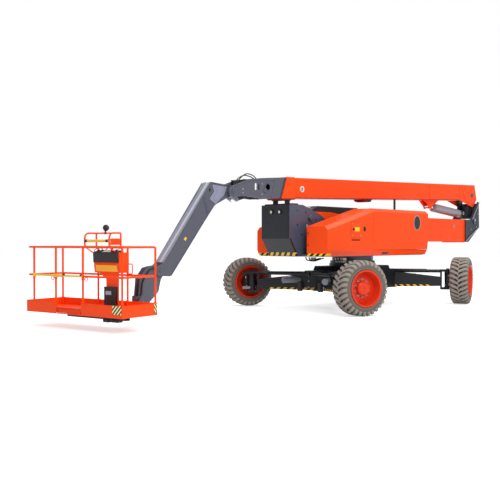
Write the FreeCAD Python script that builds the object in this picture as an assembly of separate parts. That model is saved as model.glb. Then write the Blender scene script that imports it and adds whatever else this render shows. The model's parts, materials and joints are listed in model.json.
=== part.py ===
"""Articulated, telescoping boom lift on a four-leg X chassis.

Millimetres. +X runs forward to the platform, +Y to the machine's left, +Z up.
The shapes are drawn about the slewing axis, on the ground, and moved once at
the end so that the origin lies on the ground under the middle of the machine.
"""
import math
import os

import FreeCAD
import Part

V = FreeCAD.Vector

# ---- where the slewing axis stands in the finished frame ----
SLEW_X = -930.0

# ---- wheels ----
TYRE_OD = 1155.0
TYRE_WIDTH = 445.0
TYRE_SHOULDER = 70.0
RIM_D = 720.0
RIM_WALL = 12.0
RIM_FLANGE = 22.0
DISC_OFFSET = 30.0
DISC_WALL = 18.0
HUB_R = 150.0
HUB_LENGTH = 130.0
SPINDLE_R = 60.0
SPINDLE_FIT = 0.05

# ---- steering ----
KINGPIN_X = 2030.0
KINGPIN_Y = 1440.0
KINGPIN_TO_WHEEL = 330.0
KINGPIN_R = 38.0
KINGPIN_FIT = 0.05
KNUCKLE_R = 80.0
HUB_CASE_R = 165.0
STEER_ARM = 212.0
ARM_WALL = 35.0
STEER_CYLINDER_R = 42.0
STEER_ROD_R = 20.0
STEER_BRACKET = 290.0
STEER_REST = {
    "front_left": -18.0,
    "front_right": -27.0,
    "rear_left": 20.0,
    "rear_right": 28.0,
}

# ---- chassis ----
FRAME_HALF_LENGTH = 1300.0
FRAME_HALF_WIDTH = 430.0
FRAME_BOTTOM = 400.0
FRAME_TOP = 960.0
FRAME_WALL = 20.0
FRAME_STEP = 320.0
FRAME_STEP_TOP = 860.0
LEG_ROOT_Y = 330.0
LEG_WIDTH = 250.0
LEG_WALL = 14.0
LEG_BOTTOM = 405.0
LEG_ROOT_TOP = 790.0
LEG_TIP_TOP = 660.0
LEG_TIP_BOTTOM = 435.0
LEG_STRUT_R = 40.0
LUG_LOW = 345.0
LUG_HIGH = 845.0
LUG_THICKNESS = 55.0
LUG_R = 110.0
ARM_Z = LUG_HIGH - LUG_THICKNESS - ARM_WALL - 10
SEAT_GAP = 0.3
REST_CLEARANCE = 9.0  # between the lowered boom and the pad it comes down on
TIE_HOLE_R = 22.0
TIE_LUG_Y = 60.0
TIE_REACH = 100.0
TIE_PLATE = 24.0

# ---- slewing ring and turntable ----
RING_R = 560.0
RING_BORE = 320.0
RING_SPLIT = 1080.0
DECK_BOTTOM = 1215.0
DECK_THICKNESS = 45.0
DECK_REAR = -1450.0
SIDE_PLATE_Y = 400.0
SIDE_PLATE_THICKNESS = 30.0
TOWER_FRONT = 2765.0
TOWER_FOOT = 2530.0
TOWER_CHIN = 1620.0
TOWER_TOP = 2335.0
TOWER_TAIL_TOP = 1500.0

# ---- covers ----
COVER_INNER_Y = 600.0
COVER_OUTER_Y = 1160.0
FAR_INNER_Y = 450.0
FAR_OUTER_Y = 860.0
COVER_FRONT = 2460.0
COVER_REAR = -1560.0
COVER_SPLIT = 780.0
COVER_NOSE_TOP = 1860.0
COVER_TOP = 2290.0
COVER_BOTTOM = 1225.0
COVER_CREASE = 1350.0
COVER_EDGE = 75.0
COVER_WALL = 35.0
COVER_EDGE_ROOM = 50.0
COVER_TAIL = 60.0
PANEL_GAP = 6.0
HOOD_HINGE_R = 14.0

# ---- riser ----
RISER_PIVOT_X = 2100.0
RISER_PIVOT_Z = 2060.0
RISER_PIN_R = 55.0
PIN_FIT = 0.05
EYE_HALF_WIDTH = 58.0
EYE_ROOM = 4.0
CYLINDER_WALL = 12.0
GLAND = 50.0
PISTON = 45.0
END_CUSHION = 15.0
RISER_REAR = -5200.0
RISER_BOTTOM = 1540.0
RISER_TOP = 2180.0
RISER_WIDTH = 520.0
RISER_WALL = 14.0
EXTENSION_GAP = 10.0
EXTENSION_WALL = 12.0
EXTENSION_FRONT = 1000.0
RISER_CYLINDER_FOOT = (1500.0, 1360.0)
RISER_CYLINDER_HEAD = (-200.0, 1440.0)
RISER_BARREL_R = 80.0
RISER_BARREL_END = 1460.0
RISER_LIFT = 70.0
RISER_ROD_R = 45.0

# ---- knuckle at the top of the riser ----
KNUCKLE_PIN_X = -5620.0
KNUCKLE_PIN_Z = 2115.0
KNUCKLE_PIN_R = 50.0
KNUCKLE_PLATE_GAP = 8.0
KNUCKLE_PLATE = 26.0

# ---- main boom ----
BOOM_PIVOT_X = -5630.0
BOOM_PIVOT_Z = 2910.0
BOOM_PIN_R = 50.0
BOOM_DROOP = 2.0
BOOM_HEIGHT = 450.0
BOOM_WIDTH = 430.0
BOOM_WALL = 12.0
BOOM_FRONT_TOP = 8290.0
BOOM_FRONT_LOW = 8480.0
BOOM_TOP_OVER_PIVOT = 300.0
MID_GAP = 10.0
MID_WALL = 10.0
FLY_GAP = 10.0
FLY_WALL = 9.0
FLY_END = 8830.0
BOOM_CYLINDER_FOOT = (-5540.0, 2330.0)
BOOM_CYLINDER_HEAD = (-3500.0, 2520.0)
BOOM_BARREL_R = 118.0
BOOM_BARREL_END = 1760.0
BOOM_LIFT = 75.0
BOOM_ROD_R = 60.0

# ---- jib ----
JIB_PIVOT_X = 4300.0
JIB_PIVOT_Z = 2540.0
JIB_PIN_R = 38.0
JIB_WIDTH = 240.0
JIB_WALL = 10.0
JIB_CYLINDER_FOOT = (3350.0, 2600.0)
JIB_CYLINDER_HEAD = (4070.0, 2400.0)
JIB_BARREL_R = 55.0
JIB_BARREL_END = 665.0
JIB_DROP = 110.0
JIB_ROD_R = 30.0

# ---- platform ----
TIP_X = 6085.0
TIP_Z = 1000.0
TIP_PIN_R = 30.0
YOKE_R = 46.0
ROTATOR_X = 6500.0
ROTATOR_R = 110.0
ROTATOR_LOW = 350.0
ROTATOR_HIGH = 560.0
SPIGOT_R = 60.0
LEVEL_EYE = (6130.0, 640.0)
LEVEL_FOOT = (5250.0, 1870.0)
LEVEL_BARREL_R = 45.0
LEVEL_BARREL_END = 840.0
LEVEL_ROD_R = 24.0
LEVEL_EYE_HALF = 22.0
CRANK_PLATE = 19.0
PLATFORM_TURN = 8.4
PLATFORM_BACK = 235.0
PLATFORM_DEPTH = 840.0
PLATFORM_LENGTH = 2440.0
PLATFORM_NEAR = 690.0
FLOOR_BOTTOM = 270.0
FLOOR_TOP = 350.0
TOE_TOP = 480.0
MID_RAIL_Z = 940.0
TOP_RAIL_Z = 1441.0
RAIL_R = 19.0
TOE_WALL = 5.0
FLOOR_PLATE = 5.0
BEARER_WALL = 10.0
RAIL_INSET = 24.3
GUARD_Z = 1690.0
GUARD_DEPTH = 305.0
GUARD_FAR_Y = -800.0
GUARD_NEAR_Y = -170.0
CONSOLE_TOP = 1345.0
CONSOLE_WAIST = 985.0
CONSOLE_LOW = 740.0
CONSOLE_DEPTH = 235.0
CONSOLE_Y = -590.0
CONSOLE_LENGTH = 640.0
NECK_PLATE = 16.0
DOCUMENT_DEPTH = 50.0
GATE_POSTS = (-1570.0, -976.0, -277.0)
GATE_LIFT = 400.0
GATE_SLEEVE = 30.0
BACK_POSTS = (-750.0, 0.0)

CORNERS = {
    "front_left": (1, 1),
    "front_right": (1, -1),
    "rear_left": (-1, 1),
    "rear_right": (-1, -1),
}


# ---------------------------------------------------------------- helpers
def box(x0, x1, y0, y1, z0, z1):
    """Upright block between two corners."""
    return Part.makeBox(x1 - x0, y1 - y0, z1 - z0, V(x0, y0, z0))


def wire_of(points):
    """Closed straight-sided wire through the points."""
    return Part.makePolygon(points + [points[0]])


def side_plate(outline, y0, y1):
    """An (x, z) outline carried across from y0 to y1."""
    face = Part.Face(wire_of([V(x, y0, z) for x, z in outline]))
    return face.extrude(V(0, y1 - y0, 0))


def front_plate(outline, x0, x1):
    """A (y, z) outline carried forward from x0 to x1."""
    face = Part.Face(wire_of([V(x0, y, z) for y, z in outline]))
    return face.extrude(V(x1 - x0, 0, 0))


def floor_plate(outline, z0, z1):
    """An (x, y) outline carried up from z0 to z1."""
    face = Part.Face(wire_of([V(x, y, z0) for x, y in outline]))
    return face.extrude(V(0, 0, z1 - z0))


def rod(start, end, radius):
    """Round bar between two points."""
    start, end = V(*start), V(*end)
    return Part.makeCylinder(radius, (end - start).Length, start, end - start)


def cross_pin(x, z, radius, y0, y1):
    """Round bar across the machine."""
    return rod((x, y0, z), (x, y1, z), radius)


def upright(x, y, radius, z0, z1):
    return rod((x, y, z0), (x, y, z1), radius)


def fuse(*shapes):
    """One clean solid out of several that overlap or touch."""
    first, rest = shapes[0], list(shapes[1:])
    return (first.fuse(rest) if rest else first).removeSplitter()


def mirrored_y(shape):
    return shape.mirror(V(0, 0, 0), V(0, 1, 0))


def both_sides(shape):
    """The shape and its mirror image on the other side of the machine."""
    return [shape, mirrored_y(shape)]


def turned(shape, x, y, degrees):
    """Turned about an upright line."""
    shape = shape.copy()
    shape.rotate(V(x, y, 0), V(0, 0, 1), degrees)
    return shape


def lathe(profile, y_centre=0.0):
    """An (r, y) profile spun about the Y axis."""
    face = Part.Face(wire_of([V(r, y + y_centre, 0) for r, y in profile]))
    return face.revolve(V(0, 0, 0), V(0, 1, 0), 360)


def tube_box(x0, x1, width, z0, z1, wall):
    """Square tube along X with both ends open."""
    half = width / 2
    outer = box(x0, x1, -half, half, z0, z1)
    inner = box(x0 - 1, x1 + 1, -half + wall, half - wall, z0 + wall, z1 - wall)
    return outer.cut(inner)


def boss(x, z, radius, outline, y0, y1):
    """A side plate with a round end about (x, z)."""
    return fuse(side_plate(outline, y0, y1), cross_pin(x, z, radius, y0, y1))


PARTS = {}


def keep(name, *shapes):
    """Store a node: one solid, or like solids that don't touch."""
    solids = [s for shape in shapes for s in shape.Solids]
    PARTS[name] = solids[0] if len(solids) == 1 else Part.makeCompound(solids)


# ---------------------------------------------------------------- wheels
def tyre_profile():
    rim_r, crown = RIM_D / 2, TYRE_OD / 2
    half, bead = TYRE_WIDTH / 2, TYRE_WIDTH / 2 - 35
    shoulder = crown - TYRE_SHOULDER * 0.6
    return [
        (rim_r, -bead), (rim_r + 40, -half), (shoulder - 60, -half),
        (shoulder, -half + 15), (crown, -half + TYRE_SHOULDER),
        (crown, half - TYRE_SHOULDER), (shoulder, half - 15),
        (shoulder - 60, half), (rim_r + 40, half), (rim_r, bead),
    ]


def rim_profile():
    """Barrel, dished disc and planetary hub, outboard side at +y."""
    out, bead = RIM_D / 2, TYRE_WIDTH / 2 - 35
    half = TYRE_WIDTH / 2
    disc = DISC_OFFSET
    bore = SPINDLE_R + SPINDLE_FIT
    hub_end = disc + HUB_LENGTH
    return [
        (out, -bead), (out + RIM_FLANGE, -half + 5), (out + RIM_FLANGE, -half - 3),
        (out - RIM_WALL, -half + 5), (out - RIM_WALL - 15, disc - 30),
        (HUB_R + 60, disc), (bore, disc), (bore, hub_end - 20),
        (0, hub_end - 20), (0, hub_end), (HUB_R - 35, hub_end),
        (HUB_R, hub_end - 30), (HUB_R, disc + DISC_WALL),
        (HUB_R + 60, disc + DISC_WALL), (out - RIM_WALL - 15, disc - 30 + DISC_WALL),
        (out - RIM_WALL, half - 5), (out + RIM_FLANGE, half + 3),
        (out + RIM_FLANGE, half - 5), (out, bead),
    ]


def at_wheel(shape, name):
    """From the straight-ahead left wheel at the origin to a corner of the machine."""
    sx, sy = CORNERS[name]
    if sy < 0:
        shape = mirrored_y(shape)
    shape = shape.copy()
    shape.translate(V(0, sy * KINGPIN_TO_WHEEL, TYRE_OD / 2))
    return at_kingpin(shape, name)


def at_kingpin(shape, name):
    sx, sy = CORNERS[name]
    shape = turned(shape, 0, 0, STEER_REST[name])
    shape.translate(V(sx * KINGPIN_X, sy * KINGPIN_Y, 0))
    return shape


def steer_knuckle():
    """Kingpin tube, hub case and spindle of a left wheel, pin axis at the origin."""
    hub_z = TYRE_OD / 2
    low = LUG_LOW + LUG_THICKNESS + SEAT_GAP
    high = LUG_HIGH - LUG_THICKNESS - 5
    case_end = KINGPIN_TO_WHEEL - 20
    tube = upright(0, 0, KNUCKLE_R, low, high)
    case = rod((0, 0, hub_z), (0, case_end, hub_z), HUB_CASE_R)
    case = case.common(box(-400, 400, 75, 800, 0, 1400))
    neck = box(-70, 70, 0, 90, hub_z - 110, hub_z + 110)
    spindle_end = KINGPIN_TO_WHEEL + DISC_OFFSET + HUB_LENGTH - 22
    spindle = rod((0, 0, hub_z), (0, spindle_end, hub_z), SPINDLE_R)
    arm = box(0, STEER_ARM, -35, 35, ARM_Z, ARM_Z + ARM_WALL)
    arm = fuse(arm, upright(STEER_ARM, 0, 35, ARM_Z, ARM_Z + ARM_WALL))
    whole = fuse(tube, case, neck, spindle, arm)
    return whole.cut(upright(0, 0, KINGPIN_R + KINGPIN_FIT, low - 10, high + 10))


def build_wheels():
    tyre, rim = lathe(tyre_profile()), lathe(rim_profile())
    knuckle = steer_knuckle()
    for name, (sx, sy) in CORNERS.items():
        keep("tyre_" + name, at_wheel(tyre, name))
        keep("wheel_" + name, at_wheel(rim, name))
        piece = mirrored_y(knuckle) if sy < 0 else knuckle
        if sx < 0:
            piece = piece.mirror(V(0, 0, 0), V(1, 0, 0))
        keep("steer_knuckle_" + name, at_kingpin(piece, name))


# ---------------------------------------------------------------- chassis
def leg_line():
    """Length and heading of the front left leg, from its root to its kingpin."""
    dx, dy = KINGPIN_X - FRAME_HALF_LENGTH, KINGPIN_Y - LEG_ROOT_Y
    return math.hypot(dx, dy), math.degrees(math.atan2(dy, dx))


def on_leg(shape):
    """From the leg's own line along +X to the front left leg."""
    shape = turned(shape, 0, 0, leg_line()[1])
    shape.translate(V(FRAME_HALF_LENGTH, LEG_ROOT_Y, 0))
    return shape


def leg_beam(length):
    """Tapered box beam, open at the root, with the lighter strut over it."""
    half, end = LEG_WIDTH / 2, length - 180
    slope = (LEG_ROOT_TOP - LEG_TIP_TOP) / end
    outline = [
        (-250, LEG_BOTTOM), (end, LEG_TIP_BOTTOM),
        (end, LEG_TIP_TOP), (-250, LEG_ROOT_TOP + 250 * slope),
    ]
    inner = [
        (-260, LEG_BOTTOM + LEG_WALL), (end + 10, LEG_TIP_BOTTOM + LEG_WALL),
        (end + 10, LEG_TIP_TOP - LEG_WALL), (-260, LEG_ROOT_TOP + 260 * slope - LEG_WALL),
    ]
    beam = side_plate(outline, -half, half)
    beam = beam.cut(side_plate(inner, -half + LEG_WALL, half - LEG_WALL))
    strut_z = LUG_HIGH - LEG_STRUT_R
    strut = rod((-120, 0, strut_z), (end + 20, 0, strut_z), LEG_STRUT_R)
    return fuse(beam, strut)


def leg_head(length):
    """End plate with the two kingpin lugs and the pin through them."""
    half = LUG_R
    plate = box(length - 185, length - 145, -half, half, LUG_LOW, LUG_HIGH)
    lugs = [plate]
    for z in (LUG_LOW, LUG_HIGH - LUG_THICKNESS):
        lugs.append(box(length - 150, length, -half, half, z, z + LUG_THICKNESS))
        lugs.append(upright(length, 0, LUG_R, z, z + LUG_THICKNESS))
    pin = upright(length, 0, KINGPIN_R, LUG_LOW + 1, LUG_HIGH + 25)
    return fuse(*lugs, pin)


def front_left_leg():
    length = leg_line()[0]
    leg = on_leg(fuse(leg_beam(length), leg_head(length)))
    outside = box(FRAME_HALF_LENGTH, 4000, -100, 4000, 0, 2000)
    beside = box(0, 4000, FRAME_HALF_WIDTH, 4000, 0, 2000)
    return leg.common(outside.fuse(beside))


def corner_copy(shape, name):
    """The front left piece mirrored to a named corner."""
    sx, sy = CORNERS[name]
    if sy < 0:
        shape = mirrored_y(shape)
    if sx < 0:
        shape = shape.mirror(V(0, 0, 0), V(1, 0, 0))
    return shape


def arm_end(name):
    """Where a corner's steering arm ends, at rest."""
    sx, sy = CORNERS[name]
    angle = math.radians(STEER_REST[name])
    return (
        sx * KINGPIN_X + sx * STEER_ARM * math.cos(angle),
        sy * KINGPIN_Y + sx * STEER_ARM * math.sin(angle),
    )


def steer_cylinder(name):
    """Barrel and rod from the frame's end plate to over the steering arm's end."""
    sx, sy = CORNERS[name]
    eye_half = STEER_ROD_R + 2
    z = ARM_Z + ARM_WALL + 5 + eye_half
    end_x, end_y = arm_end(name)
    foot = (sx * (FRAME_HALF_LENGTH + STEER_BRACKET), sy * 70)
    along = V(end_x - foot[0], end_y - foot[1], 0)
    reach = along.Length
    along.normalize()
    start = V(foot[0], foot[1], z)
    middle = start + along * (reach * 0.62)
    tip = start + along * (reach - 20)
    barrel = Part.makeCylinder(STEER_CYLINDER_R, reach * 0.62, start, along)
    stem = Part.makeCylinder(STEER_ROD_R, (tip - middle).Length + 10, middle - along * 10, along)
    eye = upright(end_x, end_y, 28, z - eye_half, z + eye_half)
    lug = box(-40, 40, -45, 45, z - 45, z + 45)
    lug.translate(V(foot[0], foot[1], 0))
    half = STEER_BRACKET / 2
    bracket = box(-half, half, -30, 30, z - 30, z + 30)
    bracket.translate(V(sx * (FRAME_HALF_LENGTH + half), foot[1], 0))
    return fuse(barrel, stem, eye, lug, bracket)


def chassis_frame():
    """Stepped box frame, open below, with the slewing hole in its top."""
    fl, fw, wall = FRAME_HALF_LENGTH, FRAME_HALF_WIDTH, FRAME_WALL
    outline = [
        (-fl, FRAME_BOTTOM), (fl, FRAME_BOTTOM), (fl, FRAME_STEP_TOP),
        (fl - FRAME_STEP, FRAME_STEP_TOP), (fl - FRAME_STEP - 60, FRAME_TOP),
        (-fl + FRAME_STEP + 60, FRAME_TOP), (-fl + FRAME_STEP, FRAME_STEP_TOP),
        (-fl, FRAME_STEP_TOP),
    ]
    inner = [
        (-fl + wall, FRAME_BOTTOM - 10), (fl - wall, FRAME_BOTTOM - 10),
        (fl - wall, FRAME_STEP_TOP - wall), (-fl + wall, FRAME_STEP_TOP - wall),
    ]
    body = side_plate(outline, -fw, fw).cut(side_plate(inner, -fw + wall, fw - wall))
    cross = [box(x - 12, x + 12, -fw + 5, fw - 5, FRAME_BOTTOM, FRAME_STEP_TOP) for x in (-620, 620)]
    body = fuse(body, *cross)
    ring = upright(0, 0, RING_R, FRAME_TOP - 5, RING_SPLIT - 60)
    hole = upright(0, 0, RING_BORE, FRAME_BOTTOM - 20, RING_SPLIT + 50)
    return fuse(body, ring).cut(hole)


def tie_down_lugs():
    """Flat shackle plates along the bottom of the frame's two ends, each with an upright hole."""
    plates = []
    for sx in (1, -1):
        for sy in (1, -1):
            x0, x1 = sorted((sx * (FRAME_HALF_LENGTH - 5), sx * (FRAME_HALF_LENGTH + TIE_REACH)))
            y = sy * TIE_LUG_Y
            plate = box(x0, x1, y - 42, y + 42, FRAME_BOTTOM, FRAME_BOTTOM + TIE_PLATE)
            hole_x = sx * (FRAME_HALF_LENGTH + TIE_REACH / 2)
            plates.append(plate.cut(upright(hole_x, y, TIE_HOLE_R, 300, 600)))
    return plates


def build_chassis():
    keep("chassis_frame", fuse(chassis_frame(), *tie_down_lugs()))
    leg = front_left_leg()
    for name in CORNERS:
        keep("chassis_leg_" + name, corner_copy(leg, name))
    keep("steer_cylinders", *[steer_cylinder(name) for name in CORNERS])
    race = upright(0, 0, RING_R - 20, RING_SPLIT - 60, RING_SPLIT)
    keep("slew_ring", race.cut(upright(0, 0, RING_BORE, 0, RING_SPLIT + 10)))


# ---------------------------------------------------------------- turntable
def deck():
    """Deck plate on the slewing race, open in the middle for hoses."""
    half = SIDE_PLATE_Y
    edge = COVER_OUTER_Y - COVER_WALL - COVER_EDGE_ROOM
    far_edge = FAR_OUTER_Y - COVER_WALL - COVER_EDGE_ROOM
    wing_front, wing_rear = COVER_FRONT - COVER_WALL, COVER_REAR + COVER_TAIL + COVER_WALL + 10
    outline = [
        (DECK_REAR, half), (DECK_REAR, -half), (wing_rear, -half), (wing_rear, -far_edge),
        (wing_front, -far_edge), (wing_front, -half), (TOWER_FOOT, -half),
        (TOWER_FOOT, half), (wing_front, half), (wing_front, edge),
        (wing_rear, edge), (wing_rear, half),
    ]
    plate = floor_plate(outline, DECK_BOTTOM, DECK_BOTTOM + DECK_THICKNESS)
    drum = upright(0, 0, RING_R - 60, RING_SPLIT + SEAT_GAP, DECK_BOTTOM + 5)
    hole = upright(0, 0, RING_BORE, 0, DECK_BOTTOM + DECK_THICKNESS + 10)
    return fuse(plate, drum).cut(hole)


def tower_plate(y0, y1):
    """One of the two tall plates that carry the riser's pivot."""
    deck_top = DECK_BOTTOM + DECK_THICKNESS - 2
    front = TOWER_FRONT
    outline = [
        (TOWER_FOOT, deck_top), (front - 10, TOWER_CHIN), (front - 10, TOWER_TOP),
        (front - 415, TOWER_TOP), (front - 1025, TOWER_TOP - 200), (front - 1700, 1760),
        (front - 2800, TOWER_TAIL_TOP), (DECK_REAR + 150, TOWER_TAIL_TOP),
        (DECK_REAR + 150, deck_top),
    ]
    plate = side_plate(outline, y0, y1)
    for dx, z in ((-505, 2170), (-595, 2010), (-855, 2010), (-210, 2200), (-230, 1900), (-370, 1690)):
        plate = plate.cut(cross_pin(front + dx, z, 24, y0 - 5, y1 + 5))
    return plate


def turntable_frame():
    inner, outer = SIDE_PLATE_Y - SIDE_PLATE_THICKNESS, SIDE_PLATE_Y
    plates = both_sides(tower_plate(inner, outer))
    pin = cross_pin(RISER_PIVOT_X, RISER_PIVOT_Z, RISER_PIN_R, -outer - 25, outer + 25)
    foot_x, foot_z = RISER_CYLINDER_FOOT
    deck_top = DECK_BOTTOM + DECK_THICKNESS - 2
    ear = boss(foot_x, foot_z, 60, [
        (foot_x - 110, deck_top), (foot_x + 110, deck_top),
        (foot_x + 50, foot_z + 20), (foot_x - 50, foot_z + 20)], 62, 92)
    foot_pin = cross_pin(foot_x, foot_z, 35, -90, 90)
    return fuse(deck(), *plates, pin, *both_sides(ear), foot_pin)


def front_panel():
    """Dark cover plate over the front of the tower, sloping back below its chin."""
    half = SIDE_PLATE_Y
    gap = SEAT_GAP + 0.1
    low, edge = DECK_BOTTOM + 13, DECK_BOTTOM + DECK_THICKNESS - 2
    back, face = TOWER_FRONT - 10 + gap, TOWER_FRONT + 30
    outline = [
        (TOWER_FOOT + gap, low), (TOWER_FOOT + gap, edge - 0.2), (back, TOWER_CHIN - 0.2),
        (back, TOWER_TOP - 5), (face, TOWER_TOP - 5), (face, TOWER_CHIN - 20), (TOWER_FOOT + 36, low),
    ]
    return side_plate(outline, -half, half)


def boom_line_z(x, over_pivot):
    """Height of a line along the boom, so far above its pivot, at a place x."""
    slope = math.tan(math.radians(BOOM_DROOP))
    return BOOM_PIVOT_Z + over_pivot / math.cos(math.radians(BOOM_DROOP)) - slope * (x - BOOM_PIVOT_X)


def boom_rest():
    """Cradle on the tower that the lowered boom lies in: two posts, a foot bar and a pad."""
    x0, x1 = TOWER_FRONT - 260, TOWER_FRONT - 60
    low = BOOM_TOP_OVER_PIVOT - BOOM_HEIGHT - REST_CLEARANCE
    half = BOOM_WIDTH / 2 - 20
    bar = box(x0, x1, -SIDE_PLATE_Y, SIDE_PLATE_Y, TOWER_TOP, TOWER_TOP + 24)
    post = box(x0 + 30, x1 - 30, half - 40, half - 10, TOWER_TOP + 20, boom_line_z(x1, low) - 20)
    pad = side_plate([
        (x0, boom_line_z(x0, low) - 36), (x1, boom_line_z(x1, low) - 36),
        (x1, boom_line_z(x1, low)), (x0, boom_line_z(x0, low))], -half, half)
    return fuse(bar, *both_sides(post), pad)


def counterweight():
    """Cast block behind the slewing ring, under the riser."""
    half = SIDE_PLATE_Y - SIDE_PLATE_THICKNESS
    top = RISER_BOTTOM - 60
    deck_top = DECK_BOTTOM + DECK_THICKNESS
    block = box(DECK_REAR + 20, DECK_REAR + 620, -half, half, deck_top, top)
    edges = [e for e in block.Edges if abs(e.BoundBox.ZMin - top) < 1 and e.BoundBox.YLength > 10]
    return block.makeChamfer(40, edges)


def cover_outline():
    return [
        (COVER_FRONT, COVER_BOTTOM), (COVER_FRONT, COVER_NOSE_TOP),
        (COVER_SPLIT - 20, COVER_TOP), (COVER_REAR, COVER_TOP),
        (COVER_REAR, COVER_CREASE + 250), (COVER_REAR + COVER_TAIL, COVER_BOTTOM),
    ]


def shrunk(outline, wall):
    """The cover's outline brought in by a wall, open at the bottom."""
    cx = (COVER_FRONT + COVER_REAR) / 2
    inner = []
    for x, z in outline:
        dx = -wall if x > cx + 900 else (wall if x < cx - 900 else 0)
        dz = -wall if z > COVER_CREASE + 100 else (-60 if z < COVER_CREASE else 0)
        inner.append((x + dx, z + dz))
    return inner


def cover_shell(y_in, y_out):
    """A left-hand cover: a hollow moulding, open below and towards the machine."""
    solid = side_plate(cover_outline(), y_in, y_out)
    top_edges, low_edges = [], []
    for edge in solid.Edges:
        b = edge.BoundBox
        if b.YLength < 1 and abs(b.YMin - y_out) < 1:
            if b.ZMin >= COVER_NOSE_TOP - 1:
                top_edges.append(edge)
            elif b.ZMax <= COVER_BOTTOM + 1:
                low_edges.append(edge)
    solid = solid.makeChamfer(COVER_EDGE, top_edges)
    wedge = front_plate([
        (y_out + 1, COVER_BOTTOM - 1), (y_out + 1, COVER_CREASE), (y_out, COVER_CREASE),
        (y_out - 60, COVER_BOTTOM - 1)], COVER_REAR - 10, COVER_FRONT + 10)
    solid = solid.cut(wedge)
    cavity = side_plate(shrunk(cover_outline(), COVER_WALL), y_in - 5,
                        y_out - COVER_WALL - COVER_EDGE_ROOM)
    return solid.cut(cavity)


def cover_part(shell, x0, x1, z0, z1):
    return shell.common(box(x0, x1, 0, 2000, z0, z1))


def cover_set(y_in, y_out):
    """Fixed front, sill and hinged hood of one cover, drawn on the left."""
    shell = cover_shell(y_in, y_out)
    gap = PANEL_GAP
    far, top = 5000, 3000
    front = cover_part(shell, COVER_SPLIT + gap / 2, far, 0, top)
    sill = cover_part(shell, -far, COVER_SPLIT - gap / 2, 0, COVER_CREASE - gap / 2)
    hood = cover_part(shell, -far, COVER_SPLIT - gap / 2, COVER_CREASE + gap / 2, top)
    hinge_z = COVER_TOP - 40
    tube = rod((COVER_REAR + 60, y_in, hinge_z), (COVER_SPLIT - 60, y_in, hinge_z), HOOD_HINGE_R)
    flap = box(COVER_REAR + 60, COVER_SPLIT - 60, y_in, y_in + 30, hinge_z - 12, COVER_TOP - 10)
    return front, sill, fuse(hood, tube, flap)


def build_covers():
    near = cover_set(COVER_INNER_Y, COVER_OUTER_Y)
    far = [mirrored_y(piece) for piece in cover_set(FAR_INNER_Y, FAR_OUTER_Y)]
    keep("side_covers", near[0], far[0])
    keep("cover_sills", near[1], far[1])
    keep("hood_left", near[2])
    keep("hood_right", far[2])


def hood_posts(y_in):
    """Brackets from a tower plate up to a hood's hinge tube, drawn on the left."""
    hinge_z = COVER_TOP - 40
    posts = []
    for x in (COVER_REAR + 450, COVER_SPLIT - 250):
        post = box(x - 40, x + 40, SIDE_PLATE_Y - 4, SIDE_PLATE_Y + 26,
                   TOWER_TAIL_TOP - 100, hinge_z - 2)
        arm = box(x - 40, x + 40, SIDE_PLATE_Y, y_in - HOOD_HINGE_R - SEAT_GAP,
                  hinge_z - 24, hinge_z - 2)
        posts.append(fuse(post, arm))
    return posts


def exhaust():
    x, y = DECK_REAR + 200, SIDE_PLATE_Y - SIDE_PLATE_THICKNESS / 2
    pipe = upright(x, y, 28, TOWER_TAIL_TOP, COVER_TOP + 330)
    can = upright(x, y, 50, COVER_TOP - 500, COVER_TOP - 80)
    return fuse(pipe, can)


def build_turntable():
    far_posts = [mirrored_y(post) for post in hood_posts(FAR_INNER_Y)]
    keep("turntable_frame", fuse(turntable_frame(), *hood_posts(COVER_INNER_Y), *far_posts))
    keep("front_panel", front_panel())
    keep("boom_rest", boom_rest())
    keep("counterweight", counterweight())
    deck_top = DECK_BOTTOM + DECK_THICKNESS
    keep("engine_block", box(-1000, 100, 620, COVER_OUTER_Y - 150, deck_top, deck_top + 650))
    keep("tank", box(-1000, 400, -FAR_OUTER_Y + 130, -SIDE_PLATE_Y - 60, deck_top, deck_top + 600))
    keep("exhaust", exhaust())
    build_covers()


# ---------------------------------------------------------------- riser
def riser_base():
    """Box beam of the riser, open at its rear end, with the pivot tube in front."""
    half = RISER_WIDTH / 2
    px, pz = RISER_PIVOT_X, RISER_PIVOT_Z
    outline = [
        (RISER_REAR, RISER_BOTTOM), (px - 800, RISER_BOTTOM), (px + 60, pz - 170),
        (px + 150, pz - 60), (px + 150, pz + 60), (px + 40, RISER_TOP + 30),
        (px - 900, RISER_TOP + 30), (px - 1300, RISER_TOP), (RISER_REAR, RISER_TOP),
    ]
    beam = side_plate(outline, -half, half)
    cavity = box(RISER_REAR - 5, EXTENSION_FRONT, -half + RISER_WALL, half - RISER_WALL,
                 RISER_BOTTOM + RISER_WALL, RISER_TOP - RISER_WALL)
    head_room = box(EXTENSION_FRONT - 5, px - 250, -half + RISER_WALL, half - RISER_WALL,
                    RISER_BOTTOM + 340, RISER_TOP - RISER_WALL)
    beam = beam.cut(cavity).cut(head_room)
    reach = SIDE_PLATE_Y - SIDE_PLATE_THICKNESS - 5
    trunnion = cross_pin(px, pz, RISER_PIN_R + 45, -reach, reach)
    lug_x, lug_z = RISER_CYLINDER_HEAD
    ear = boss(lug_x, lug_z, 48, [
        (lug_x - 120, RISER_BOTTOM + 5), (lug_x + 120, RISER_BOTTOM + 5),
        (lug_x + 40, lug_z - 20), (lug_x - 40, lug_z - 20)], 62, 90)
    lug_pin = cross_pin(lug_x, lug_z, 32, 88, 102)
    lip = box(RISER_REAR - 5, RISER_REAR + 515, -half + 40, half - 40,
              RISER_BOTTOM - 22, RISER_BOTTOM + 2)
    collar = tube_box(RISER_REAR - 2, RISER_REAR + 110, RISER_WIDTH + 12,
                      RISER_BOTTOM - 6, RISER_TOP + 6, 7)
    beam = fuse(beam, trunnion, *both_sides(ear), *both_sides(lug_pin), lip, collar)
    return beam.cut(cross_pin(px, pz, RISER_PIN_R + PIN_FIT, -reach - 5, reach + 5))


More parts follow.
